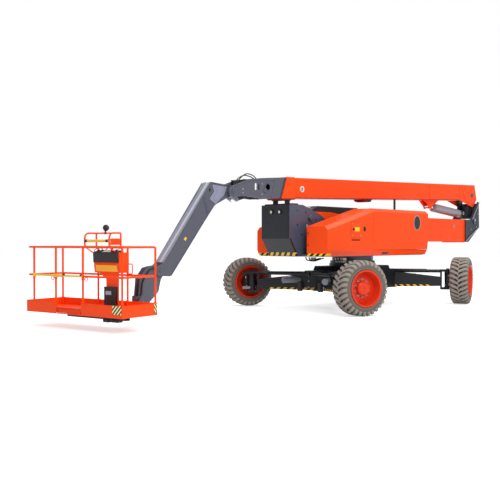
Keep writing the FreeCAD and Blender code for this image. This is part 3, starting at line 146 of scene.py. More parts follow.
def block(centre, size, turn=None):
    """Box: corners are centre plus each sign of half the size, turned about the centre."""
    signs = np.array([[x, y, z] for x in (-1, 1) for y in (-1, 1) for z in (-1, 1)], float)
    points = signs * np.asarray(size, float) / 2
    if turn is not None:
        points = points @ np.asarray(turn).T
    faces = [[0, 1, 3, 2], [4, 6, 7, 5], [0, 4, 5, 1], [2, 3, 7, 6], [0, 2, 6, 4], [1, 5, 7, 3]]
    return points + np.asarray(centre, float), faces


def across(direction):
    """Two unit vectors square to a direction and to each other, right-handed with it."""
    d = np.asarray(direction, float)
    d = d / np.linalg.norm(d)
    helper = np.array([0, 0, 1.0]) if abs(d[2]) < 0.9 else np.array([1.0, 0, 0])
    a = np.cross(helper, d)
    a /= np.linalg.norm(a)
    return a, np.cross(d, a)


def spun(start, direction, profile, count=32):
    """Turned shape: (radius, distance) points carried round an axis, closed at both ends."""
    d = np.asarray(direction, float)
    d = d / np.linalg.norm(d)
    a, b = across(d)
    angle = np.linspace(0, 2 * math.pi, count, endpoint=False)
    ring = np.cos(angle)[:, None] * a + np.sin(angle)[:, None] * b
    profile = np.asarray(profile, float)
    verts = (profile[:, 0, None, None] * ring[None] + profile[:, 1, None, None] * d)
    verts = verts.reshape(-1, 3) + np.asarray(start, float)
    faces = grid_faces(len(profile), count, wrap_columns=True)[:, ::-1].tolist()
    last = (len(profile) - 1) * count
    faces.append(list(range(count))[::-1])
    faces.append(list(range(last, last + count)))
    return verts, faces


def bar(start, end, radius, count=16, bevel=0.0):
    """Round bar between two points, its ends eased by the bevel."""
    start, end = np.asarray(start, float), np.asarray(end, float)
    length = np.linalg.norm(end - start)
    ease = min(bevel, radius * 0.5, length * 0.4)
    profile = [(radius, 0), (radius, length)]
    if ease:
        profile = [(radius - ease, 0), (radius, ease), (radius, length - ease), (radius - ease, length)]
    return spun(start, end - start, profile, count)


def path_points(points, corner, steps=6):
    """A broken line with each corner rounded: two tangent points joined by a quadratic curve."""
    points = [np.asarray(p, float) for p in points]
    line = [points[0]]
    for before, at, after in zip(points, points[1:], points[2:]):
        back, on = before - at, after - at
        reach = min(corner, 0.45 * np.linalg.norm(back), 0.45 * np.linalg.norm(on))
        p0 = at + back / np.linalg.norm(back) * reach
        p2 = at + on / np.linalg.norm(on) * reach
        for t in np.linspace(0, 1, steps + 1):
            line.append((1 - t) ** 2 * p0 + 2 * t * (1 - t) * at + t * t * p2)
    line.append(points[-1])
    return np.array(line)


def tube(points, radius, corner=0.05, count=12, steps=6, closed=False):
    """Round tube along a line: at each point a circle square to the line, frames carried along."""
    line = path_points(points, corner, steps) if corner else np.asarray(points, float)
    if closed:
        line = line[:-1]
        ahead = np.roll(line, -1, 0) - np.roll(line, 1, 0)
    else:
        ahead = np.gradient(line, axis=0)
    ahead /= np.linalg.norm(ahead, axis=1)[:, None]
    a, _ = across(ahead[0])
    sides = []
    for d in ahead:
        a = a - d * np.dot(a, d)
        a = a / np.linalg.norm(a)
        sides.append((a, np.cross(d, a)))
    angle = np.linspace(0, 2 * math.pi, count, endpoint=False)
    first = np.array([s[0] for s in sides])[:, None, :]
    second = np.array([s[1] for s in sides])[:, None, :]
    ring = np.cos(angle)[None, :, None] * first + np.sin(angle)[None, :, None] * second
    verts = (line[:, None, :] + radius * ring).reshape(-1, 3)
    faces = grid_faces(len(line), count, wrap_rows=closed, wrap_columns=True)[:, ::-1].tolist()
    if not closed:
        last = (len(line) - 1) * count
        faces.append(list(range(count))[::-1])
        faces.append(list(range(last, last + count)))
    return verts, faces


def slab(outline, axis, near, far):
    """Flat outline carried along an axis: x, y or z, from near to far."""
    outline = np.asarray(outline, float)
    order = {"x": (1, 2, 0), "y": (0, 2, 1), "z": (0, 1, 2)}[axis]
    n = len(outline)
    verts = np.zeros((2 * n, 3))
    for k, at in ((0, near), (1, far)):
        rows = slice(k * n, (k + 1) * n)
        verts[rows, order[0]] = outline[:, 0]
        verts[rows, order[1]] = outline[:, 1]
        verts[rows, order[2]] = at
    faces = [list(range(n))[::-1], list(range(n, 2 * n))]
    faces += [[i, (i + 1) % n, n + (i + 1) % n, n + i] for i in range(n)]
    return verts, faces


def both_sides(outline, near, far):
    """An outline carried along Y between two distances, on the left and on the right."""
    return [slab(outline, "y", side * near, side * far) for side in (1, -1)]


def rounded(x0, x1, z0, z1, radius, steps=6):
    """Outline of a rectangle with its corners rounded: a quarter circle about each."""
    centres = ((x1 - radius, z1 - radius), (x0 + radius, z1 - radius),
               (x0 + radius, z0 + radius), (x1 - radius, z0 + radius))
    angle = np.linspace(0, math.pi / 2, steps + 1)
    return [(cx + radius * math.cos(a + k * math.pi / 2), cz + radius * math.sin(a + k * math.pi / 2))
            for k, (cx, cz) in enumerate(centres) for a in angle]


def oval(cx, cz, half_x, half_z, count=40):
    """Outline of an ellipse: centre plus half its width and height round the circle."""
    angle = np.linspace(0, 2 * math.pi, count, endpoint=False)
    return np.stack([cx + half_x * np.cos(angle), cz + half_z * np.sin(angle)], 1)


def frame_strip(outline, inner, axis, near, far):
    """Flat ring between two outlines of equally many points, carried along an axis."""
    (a, faces_a), (b, _) = slab(outline, axis, near, far), slab(inner, axis, near, far)
    n = len(outline)
    faces = faces_a[2:] + [[i + 2 * n for i in f[::-1]] for f in faces_a[2:]]
    for k, flip in ((0, 1), (n, -1)):
        for i in range(n):
            j = (i + 1) % n
            faces.append([k + i, k + j, 2 * n + k + j, 2 * n + k + i][::flip])
    return np.concatenate([a, b]), faces


def hex_bolt(at, out, radius=0.012, height=0.009):
    """Hexagon head on its washer."""
    return [spun(at, out, [(radius * 1.45, -0.002), (radius * 1.45, 0.002)], 16),
            spun(at, out, [(radius, 0.001), (radius, height), (radius * 0.8, height + 0.0015)], 6)]


def bolts(places, out, radius, height):
    """Hexagon heads at several places, all facing one way."""
    return [shape for at in places for shape in hex_bolt(at, out, radius, height)]


def tidy_normals(piece):
    """Faces pointed outwards on a closed piece, for shapes whose turn isn't known beforehand."""
    mesh = bmesh.new()
    mesh.from_mesh(piece.data)
    bmesh.ops.recalc_face_normals(mesh, faces=mesh.faces)
    mesh.to_mesh(piece.data)
    mesh.free()
    return piece


def make(name, parts, material, body, bevel=0.0):
    """One piece out of several closed shapes, its edges eased by a Bevel modifier if asked."""
    verts, faces = gather(parts)
    piece = tidy_normals(new_piece(name, verts, faces, material, body))
    if bevel:
        ease = piece.modifiers.new("ease", "BEVEL")
        ease.width = bevel
        ease.segments = 2
        ease.limit_method = "ANGLE"
        ease.angle_limit = math.radians(40)
    return piece


def make_at(name, parts, material, body, bevel=0.0, turn=about_slew):
    """A piece whose shapes are drawn about the slewing axis, or in another frame if asked."""
    return make(name, [(turn(v), f) for v, f in parts], MATERIALS[material], body, bevel)


def frame_about(outline, inner, y, side, proud):
    """Flat ring on a side face, standing proud of it."""
    return frame_strip(outline, inner, "y", y - side * 0.002, y + side * proud)


class PieceGroup:
    """What the groups of pieces share: the steps they run and the frame they are drawn in."""

    STEPS = ()
    BODY = "turntable"
    TURN = staticmethod(about_slew)

    def put(self, name, parts, material, body=None, bevel=0.0):
        """A piece in the group's own frame, on its body unless another is named."""
        return make_at(name, parts, material, body or self.BODY, bevel, self.TURN)

    def execute(self, context):
        for step in self.STEPS:
            getattr(self, step)()
        return {"FINISHED"}


def smooth_by_angle(piece, degrees=SHARP):
    """Smooth shading, with the edges sharper than the angle kept sharp."""
    mesh = piece.data
    mesh.polygons.foreach_set("use_smooth", np.ones(len(mesh.polygons), bool))
    mesh.set_sharp_from_angle(angle=math.radians(degrees))
    return piece


# ---------------------------------------------------------------- shader maths
class Value:
    """A number socket that takes Python's operators, each adding one Math node."""

    def __init__(self, nodes, socket):
        self.nodes, self.socket = nodes, socket

    def _math(self, operation, *others, clamp=False):
        node = self.nodes.add("ShaderNodeMath", {"operation": operation, "use_clamp": clamp},
                              {i: v for i, v in enumerate((self,) + others)})
        return Value(self.nodes, node.outputs[0])

    def __add__(self, other):
        return self._math("ADD", other)

    __radd__ = __add__

    def __sub__(self, other):
        return self._math("SUBTRACT", other)

    def __rsub__(self, other):
        return (self * -1.0) + other

    def __mul__(self, other):
        return self._math("MULTIPLY", other)

    __rmul__ = __mul__

    def __truediv__(self, other):
        return self._math("DIVIDE", other)

    def __gt__(self, other):
        return self._math("GREATER_THAN", other)

    def __lt__(self, other):
        return self._math("LESS_THAN", other)

    def __abs__(self):
        return self._math("ABSOLUTE")

    def wrap(self, period):
        """Remainder between 0 and the period."""
        return self._math("WRAP", period, 0.0)

    def clamped(self):
        """The same value held between 0 and 1."""
        return self._math("ADD", 0.0, clamp=True)

    def either(self, other):
        """The greater of two values."""
        return self._math("MAXIMUM", other)


class Finish:
    """A material under construction, with one method that adds any node."""

    def __init__(self, name):
        self.material = bpy.data.materials.new(name)
        self.material.use_nodes = True
        self.tree = self.material.node_tree
        self.shader = self.tree.nodes["Principled BSDF"]
        self._place = None

    def add(self, kind, settings=None, inputs=None):
        """A node of a type, its settings set first, then its sockets' values or links."""
        node = self.tree.nodes.new(kind)
        for key, value in (settings or {}).items():
            setattr(node, key, value)
        for key, value in (inputs or {}).items():
            self.feed(node.inputs[key], value)
        return node

    def feed(self, socket, value):
        """A value, a link or a plain number put into a socket."""
        if isinstance(value, Value):
            self.tree.links.new(value.socket, socket)
        elif isinstance(value, bpy.types.NodeSocket):
            self.tree.links.new(value, socket)
        else:
            socket.default_value = value

    def place(self):
        """Object coordinates as three values."""
        if self._place is None:
            coord = self.add("ShaderNodeTexCoord")
            self._coord = coord.outputs["Object"]
            split = self.add("ShaderNodeSeparateXYZ", {}, {0: self._coord})
            self._place = [Value(self, split.outputs[i]) for i in range(3)]
        return self._place

    def normal(self):
        """The surface normal as three values."""
        geometry = self.add("ShaderNodeNewGeometry")
        split = self.add("ShaderNodeSeparateXYZ", {}, {0: geometry.outputs["Normal"]})
        return [Value(self, split.outputs[i]) for i in range(3)]

    def noise(self, scale, detail=3.0, rough=0.55, stretch=(1, 1, 1)):
        """Noise over the object's coordinates, between 0 and 1."""
        self.place()
        mapping = self.add("ShaderNodeMapping", {}, {"Vector": self._coord, "Scale": stretch})
        node = self.add("ShaderNodeTexNoise", {}, {
            "Vector": mapping.outputs[0], "Scale": scale, "Detail": detail, "Roughness": rough})
        return Value(self, node.outputs["Fac"])

    def mix(self, factor, first, second):
        """A colour between two, by the factor."""
        node = self.add("ShaderNodeMix", {"data_type": "RGBA"}, {0: factor, 6: first, 7: second})
        return node.outputs[2]

    def bump(self, height, strength, distance):
        """A height turned into the shader's normal."""
        node = self.add("ShaderNodeBump", {}, {
            "Height": height, "Strength": strength, "Distance": distance})
        self.feed(self.shader.inputs["Normal"], node.outputs[0])

    def set(self, **sockets):
        """Principled sockets by name, underscores for spaces."""
        for key, value in sockets.items():
            self.feed(self.shader.inputs[key.replace("_", " ")], value)
        return self


def paint(hexcode):
    """A colour written as a web colour, as linear light with alpha."""
    parts = [int(hexcode[i:i + 2], 16) / 255 for i in (0, 2, 4)]
    return tuple(c / 12.92 if c <= 0.04045 else ((c + 0.055) / 1.055) ** 2.4 for c in parts) + (1.0,)


MATERIALS = {}
CLOUDS = 0.06  # how far the paint's colour strays to both sides


def painted(name, colour, rough=0.35, coat=0.3, gloss=0.3):
    """Sprayed paint: a faint cloudiness in the colour and the gloss, a little orange peel."""
    f = Finish(name)
    cloud = f.noise(2.3, 2.0)
    dust = f.noise(9.0, 4.0)
    dark = tuple(c * (1 - CLOUDS) for c in colour[:3]) + (1.0,)
    light = tuple(min(1.0, c * (1 + CLOUDS) + 0.004) for c in colour[:3]) + (1.0,)
    f.set(Base_Color=f.mix(cloud, dark, light), Roughness=dust * 0.12 + (rough - 0.06),
          Coat_Weight=coat, Coat_Roughness=0.15, Specular_IOR_Level=gloss)
    f.bump(f.noise(120.0, 1.0), 0.05, 0.001)
    MATERIALS[name] = f.material
    return f


def plain(name, colour, rough, metallic=0.0, bump=0.0):
    """Bare metal, rubber or plastic with a faint mottling."""
    f = Finish(name)
    mottle = f.noise(14.0, 4.0)
    f.set(Base_Color=f.mix(mottle, tuple(c * 0.9 for c in colour[:3]) + (1.0,), colour),
          Roughness=mottle * 0.15 + (rough - 0.07), Metallic=metallic)
    if bump:
        f.bump(f.noise(60.0, 3.0), bump, 0.002)
    MATERIALS[name] = f.material
    return f


# ---------------------------------------------------------------- user settings
def colour_property(name, description, hexcode):
    """A colour that the user can change."""
    return bpy.props.FloatVectorProperty(
        name=name, description=description, subtype="COLOR", size=4, min=0.0, max=1.0,
        default=paint(hexcode))


class LiftColours(bpy.types.PropertyGroup):
    """Paints and other finishes of the lift."""

    body: colour_property("Body orange", "Paint of the covers, riser and boom base", "ff4a08")
    frame: colour_property("Frame black", "Paint of the chassis and steering", "1b1d22")
    boom: colour_property("Boom grey", "Paint of the sliding booms, nose, jib and rails", "53545f")
    rim: colour_property("Rim orange", "Paint of the wheel rims", "dd3a18")
    tyre: colour_property("Tyre", "Rubber of the tyres", "857d74")
    stripe: colour_property("Stripe yellow", "Yellow of the warning stripes", "f2c01e")
    cylinder: colour_property("Cylinder grey", "Paint of the cylinder barrels", "8f929b")


class LiftSizes(bpy.types.PropertyGroup):
    """Sizes of the dressing that a user would change."""

    stripe_pitch: bpy.props.FloatProperty(
        name="Stripe pitch", description="Width of one yellow and one black stripe",
        default=0.16, min=0.02, subtype="DISTANCE", unit="LENGTH")
    lug_height: bpy.props.FloatProperty(
        name="Tread depth", description="Depth of the tread between the lugs",
        default=0.026, min=0.005, max=0.06, subtype="DISTANCE", unit="LENGTH")
    lug_count: bpy.props.IntProperty(
        name="Tread lugs", description="Lugs round one side of a tyre", default=30, min=8)
    hose_radius: bpy.props.FloatProperty(
        name="Hose radius", description="Radius of the hydraulic hoses",
        default=0.014, min=0.004, subtype="DISTANCE", unit="LENGTH")


def colours():
    """The scene's own colours."""
    return bpy.context.scene.lift_colours


def sizes():
    """The scene's own sizes."""
    return bpy.context.scene.lift_sizes


# ---------------------------------------------------------------- finishes
LEG_WAY = (0.549, 0.836)  # the way a leg points in plan: forward and sideways
LEG_BARE = 0.45  # unstriped length at a leg's outer end
LEG_BAND, PANEL_BAND, COVER_BAND = 0.125, 0.075, 0.060  # heights of the striped lower edges
COVER_NOSE = 0.16  # striped length of a cover's nose
FLOOR_SHADE = 0.0895  # height of the painted shade on the beam under the floor
JIB_SHEEN = 0.1185  # half the width of the jib's faces that mirror the sky


def striped(f, mask, along):
    """Yellow and black slanting stripes where the mask is 1, the paint as it was elsewhere."""
    pitch = sizes().stripe_pitch
    bands = along.wrap(pitch) > pitch / 2
    pattern = f.mix(bands, tuple(colours().stripe), paint("15161a"))
    paintwork = f.shader.inputs["Base Color"].links[0].from_socket
    f.set(Base_Color=f.mix(mask, paintwork, pattern))


def leg_paint():
    """Chassis paint, with warning stripes along the lower edge of each leg's sides."""
    f = painted("leg_paint", tuple(colours().frame), rough=0.42, coat=0.1, gloss=0.2)
    x, y, z = f.place()
    _, _, up = f.normal()
    middle = joint_at("slew")
    pin = np.abs(joint_at("steer_front_left") - middle)
    along = abs(x - middle[0]) * LEG_WAY[0] + abs(y) * LEG_WAY[1]
    reach = LEG_WAY[0] * pin[0] + LEG_WAY[1] * pin[1]
    beam = (along < reach - LEG_BARE) * (z < low("chassis_leg_front_left")[2] + LEG_BAND)
    striped(f, beam * (abs(up) < 0.5), along + z)


def front_panel_paint():
    """Dark paint, with warning stripes along the panel's lower edge."""
    f = painted("front_panel_paint", tuple(colours().frame), rough=0.42, coat=0.15)
    _, y, z = f.place()
    striped(f, z < low("front_panel")[2] + PANEL_BAND, y - z)


def cover_paint():
    """Gloss orange, with warning stripes along the lower edge of the covers' noses."""
    f = painted("cover_paint", tuple(colours().body), rough=0.32, coat=0.1, gloss=0.1)
    x, y, z = f.place()
    ahead = high("side_covers")[0] - COVER_NOSE
    striped(f, (x > ahead) * (z < low("side_covers")[2] + COVER_BAND), y - z)


def floor_paint_and_shade():
    """Platform orange above; below, painted shade: the beam and the rotator's pin under the floor in
    dark grey.
    """
    f = painted("floor_paint_and_shade", tuple(colours().body), rough=0.36, coat=0.1, gloss=0.1)
    _, _, z = f.place()
    paintwork = f.shader.inputs["Base Color"].links[0].from_socket
    # painted shade: dark grey low under the floor, where its shadow falls
    f.set(Base_Color=f.mix(z < low("platform_floor")[2] + FLOOR_SHADE, paintwork, paint("3a3b3c")))


def hazard_stripes():
    """Slanting black and yellow stripes, finer than the machine's own edge stripes."""
    f = painted("hazard_stripes", tuple(colours().stripe), rough=0.4, coat=0.1)
    x, y, z = f.place()
    bands = (y + x - z * 0.8).wrap(0.062) > 0.031
    f.set(Base_Color=f.mix(bands, paint("f4e3a0"), paint("15161a")))


def jib_paint_and_sheen():
    """Boom grey, with the sky's pale sheen on the faces across the arm."""
    f = painted("jib_paint_and_sheen", tuple(colours().boom), rough=0.4, coat=0.2)
    _, y, _ = f.place()
    sheen = (y < JIB_SHEEN) * (y > -JIB_SHEEN)
    # brightest band of the painted reflection, down the middle of the faces
    sheen_core = (y < 0.045) * (y > -0.020)
    pale = f.mix(sheen_core, paint("9092a0"), paint("c2c4ce"))
    f.set(Base_Color=f.mix(sheen, tuple(colours().boom), pale))


def tyre_rubber():
    """Dusty rubber: grey on the walls, paler on the lugs' faces, and painted shade between the lugs."""
    base = tuple(colours().tyre)
    for name, share in (("tyre_rubber", 0.62), ("tyre_lugs", 1.35), ("tyre_groove_shade", 0.13)):
        f = Finish(name)
        colour = tuple(min(c * share, 1) for c in base[:3]) + (1.0,)
        dark = tuple(c * 0.72 for c in colour[:3]) + (1.0,)
        dust = f.noise(22.0, 4.0) * 0.6 + f.noise(3.0, 2.0) * 0.4
        f.set(Base_Color=f.mix(dust.clamped(), dark, colour), Roughness=dust * 0.1 + 0.8)
        f.bump(f.noise(260.0, 2.0), 0.15, 0.001)
        MATERIALS[name] = f.material


class LIFT_OT_finishes(bpy.types.Operator):
    """Makes every material and puts it on the frame's own pieces"""

    bl_idname = "lift.finishes"
    bl_label = "Finishes"

    def execute(self, context):
        c = colours()
        for name, colour, rough, coat, gloss in (
                ("body_paint", c.body, 0.34, 0.1, 0.1), ("shell_paint", c.body, 0.32, 0.1, 0.1),
                ("frame_paint", c.frame, 0.42, 0.1, 0.2), ("boom_grey", c.boom, 0.4, 0.2, 0.3),
                ("rim_paint", c.rim, 0.38, 0.1, 0.15), ("cylinder_paint", c.cylinder, 0.34, 0.2, 0.3),
                ("stripe_yellow", c.stripe, 0.4, 0.1, 0.3),
                ("label_yellow", paint("f4bf2c"), 0.4, 0.05, 0.3),
                ("knuckle_paint", paint("2a2c37"), 0.4, 0.2, 0.3),
                ("panel_grey", paint("85879a"), 0.4, 0.2, 0.3),
                ("tower_paint", paint("474b5b"), 0.34, 0.35, 0.3),
                ("panel_black", paint("1c2026"), 0.5, 0.1, 0.3),
                # darker copy of the body orange: painted shade on the boom's undersides and lower edges
                ("orange_in_shade", paint("8e1f0c"), 0.45, 0.1, 0.3)):
            painted(name, tuple(colour), rough, coat, gloss)
        leg_paint()
        front_panel_paint()
        cover_paint()
        tyre_rubber()
        floor_paint_and_shade()
        hazard_stripes()
        jib_paint_and_sheen()
        for name, colour, rough, metallic, bump in (
                ("rod_chrome", "d9dadd", 0.18, 1.0, 0.0), ("bare_steel", "a8a9ad", 0.38, 0.9, 0.0),
                ("black_plastic", "17181b", 0.55, 0.0, 0.1), ("brass", "c9a86a", 0.35, 0.6, 0.0),
                ("hose_rubber", "1b1b1d", 0.6, 0.0, 0.0), ("dark_iron", "232327", 0.62, 0.0, 0.3),
                # near-black: the dark seam round the hatch, and painted shade inside holes, slots and
                # the finger cups
                ("dark_seams_and_hole_shade", "050505", 0.9, 0.0, 0.0), ("badge_black", "101114", 0.3, 0.0, 0.0),
                ("lamp_glass", "e9e7c9", 0.12, 0.0, 0.0), ("pale_plate", "e9e6df", 0.45, 0.0, 0.0),
                ("red_lens", "a3190f", 0.2, 0.0, 0.0), ("blue_window", "9fb2c8", 0.2, 0.0, 0.0)):
            plain(name, paint(colour), rough, metallic, bump)
        use = {
            "rim_paint": ["wheel_" + k for k in CORNERS],
            "tyre_rubber": ["tyre_" + k for k in CORNERS],
            "frame_paint": ["steer_knuckle_" + k for k in CORNERS]
            + ["chassis_frame", "slew_ring", "steer_cylinders"],
            "tower_paint": ["turntable_frame"],
            "knuckle_paint": ["knuckle"],
            "leg_paint": ["chassis_leg_" + k for k in CORNERS],
            "front_panel_paint": ["front_panel"],
            "cover_paint": ["side_covers"],
            "body_paint": ["riser_base", "riser_extension", "boom_base", "platform_rails"],
            "floor_paint_and_shade": ["platform_floor"],
            "shell_paint": ["cover_sills", "hood_left", "hood_right",
                            "control_console"],
            "boom_grey": ["boom_mid", "boom_fly", "platform_support"],
            "jib_paint_and_sheen": ["jib_arm"],
            "cylinder_paint": ["riser_cylinder_barrel", "boom_cylinder_barrel"],
            "rod_chrome": ["riser_cylinder_rod", "boom_cylinder_rod", "jib_cylinder_rod",
                           "level_cylinder_rod"],
            "black_plastic": ["boom_rest", "document_box", "jib_cylinder_barrel",
                              "level_cylinder_barrel", "level_yoke"],
            "dark_iron": ["counterweight", "engine_block", "tank", "exhaust"],
            "stripe_yellow": ["sensor_bar", "platform_gate"],
        }
        for name, nodes in use.items():
            for node in nodes:
                NODES[node].data.materials.clear()
                NODES[node].data.materials.append(MATERIALS[name])
        return {"FINISHED"}


# ---------------------------------------------------------------- stage
class LIFT_OT_stage(bpy.types.Operator):
    """Pale floor, soft lamps, white world and the camera"""

    bl_idname = "lift.stage"
    bl_label = "Stage"

    EYE = (13.77, 10.73, 1.53)
    HEADING = (-0.7193, -0.6947)
    PITCH = 0.62
    LENS = 53.3
    FLOOR_REACH = 60.0

    def execute(self, context):
        self.floor()
        self.world()
        self.lamps()
        self.camera()
        bpy.context.scene.view_settings.view_transform = "Standard"
        return {"FINISHED"}

    def floor(self):
        """Floor that is lit as matt paint and glows for the camera."""
        reach = self.FLOOR_REACH
        corners = [(-reach, -reach, 0), (reach, -reach, 0), (reach, reach, 0), (-reach, reach, 0)]
        mesh = bpy.data.meshes.new("studio_floor")
        mesh.from_pydata(corners, [], [[0, 1, 2, 3]])
        f = Finish("studio_floor")
        path = f.add("ShaderNodeLightPath")
        seen = Value(f, path.outputs["Is Camera Ray"]).either(
            Value(f, path.outputs["Is Glossy Ray"]))
        f.tree.nodes.remove(f.shader)
        matt = f.add("ShaderNodeBsdfDiffuse", {}, {"Color": (0.82, 0.82, 0.82, 1)})
        glow = f.add("ShaderNodeEmission", {}, {"Color": (1, 1, 1, 1), "Strength": 0.55})
        both = f.add("ShaderNodeAddShader", {}, {0: matt.outputs[0], 1: glow.outputs[0]})
        pick = f.add("ShaderNodeMixShader", {}, {0: seen, 1: matt.outputs[0], 2: both.outputs[0]})
        f.tree.links.new(pick.outputs[0], f.tree.nodes["Material Output"].inputs["Surface"])
        mesh.materials.append(f.material)
        floor = bpy.data.objects.new("studio_floor", mesh)
        bpy.context.scene.collection.objects.link(floor)

    def world(self):
        """World that is white to the camera and softer as a light."""
        world = bpy.data.worlds.new("studio")
        bpy.context.scene.world = world
        world.use_nodes = True
        tree = world.node_tree
        tree.nodes.clear()
        link = tree.links.new
        path = tree.nodes.new("ShaderNodeLightPath")
        seen = tree.nodes.new("ShaderNodeMath")
        seen.operation = "MAXIMUM"
        pick = tree.nodes.new("ShaderNodeMixShader")
        out = tree.nodes.new("ShaderNodeOutputWorld")
        for k, ray in enumerate(("Is Camera Ray", "Is Transmission Ray")):
            link(path.outputs[ray], seen.inputs[k])
        link(seen.outputs[0], pick.inputs[0])
        for k, (colour, strength) in enumerate(
                (((0.93, 0.96, 1.0, 1.0), 0.62), ((1.0, 1.0, 1.0, 1.0), 1.0))):
            shade = tree.nodes.new("ShaderNodeBackground")
            shade.inputs["Color"].default_value = colour
            shade.inputs["Strength"].default_value = strength
            link(shade.outputs[0], pick.inputs[k + 1])
        link(pick.outputs[0], out.inputs["Surface"])

    def lamps(self):
        """Three soft disc lamps, aimed at the machine."""
        for name, place, size, power, aim in (
            ("key", (9.0, 13.0, 12.0), 9.0, 1500.0, (0, 0, 1.2)),
            ("top", (-3.0, 2.0, 14.0), 12.0, 1300.0, (0, 0, 1.0)),
            ("rim", (-12.0, -9.0, 9.0), 8.0, 700.0, (0, 0, 1.5)),
        ):
            lamp = bpy.data.lights.new(name, "AREA")
            lamp.shape = "DISK"
            lamp.size = size
            lamp.energy = power
            obj = bpy.data.objects.new(name, lamp)
            obj.location = place
            obj.rotation_euler = (Vector(aim) - Vector(place)).to_track_quat("-Z", "Y").to_euler()
            bpy.context.scene.collection.objects.link(obj)

    def camera(self):
        """Camera, level but for a small pitch downwards."""
        lens = bpy.data.cameras.new("camera")
        lens.lens, lens.sensor_width = self.LENS, 36.0
        lens.clip_end = 300.0
        camera = bpy.data.objects.new("camera", lens)
        camera.location = self.EYE
        drop = -math.tan(math.radians(self.PITCH))
        aim = Vector((self.HEADING[0], self.HEADING[1], drop))
        camera.rotation_euler = aim.to_track_quat("-Z", "Y").to_euler()
        bpy.context.scene.collection.objects.link(camera)
        bpy.context.scene.camera = camera


# ---------------------------------------------------------------- tyres and wheels
def wheel_basis(corner):
    """Centre of a wheel, and the columns forward, outboard and up at rest."""
    spin = JOINTS["spin_" + corner]
    out = np.array(spin["axis"]) * (1 if corner.endswith("left") else -1)
    up = np.array([0.0, 0.0, 1.0])
    return np.array(spin["pos_m"]), np.stack([np.cross(out, up), out, up], 1)


def ring_points(radius, offset, angle):
    """Points at a radius and an angle round the wheel, so far outboard of its middle."""
    return np.stack(np.broadcast_arrays(radius * np.cos(angle), offset + 0 * angle,
                                        radius * np.sin(angle)), -1)


def hoop(section, centre, basis, count=72):
    """A closed section (radius, offset) carried once round a wheel."""
    section = np.asarray(section, float)
    angle = np.linspace(0, 2 * math.pi, count, endpoint=False)
    verts = ring_points(section[:, 0, None], section[:, 1, None], angle[None, :]).reshape(-1, 3)
    faces = grid_faces(len(section), count, wrap_rows=True, wrap_columns=True).tolist()
    return verts @ basis.T + centre, faces


def smooth_profile(points, count):
    """A rounder line through an outline: Catmull-Rom spline, sampled evenly in its parameter."""
    p = np.asarray(points, float)
    p = np.concatenate([[2 * p[0] - p[1]], p, [2 * p[-1] - p[-2]]])
    t = np.linspace(0, len(p) - 3 - 1e-9, count)
    k = t.astype(int)
    t = (t - k)[:, None]
    a, b, c, d = p[k], p[k + 1], p[k + 2], p[k + 3]
    return 0.5 * (2 * b + (c - a) * t + (2 * a - 5 * b + 4 * c - d) * t ** 2
                  + (3 * b - a - 3 * c + d) * t ** 3)


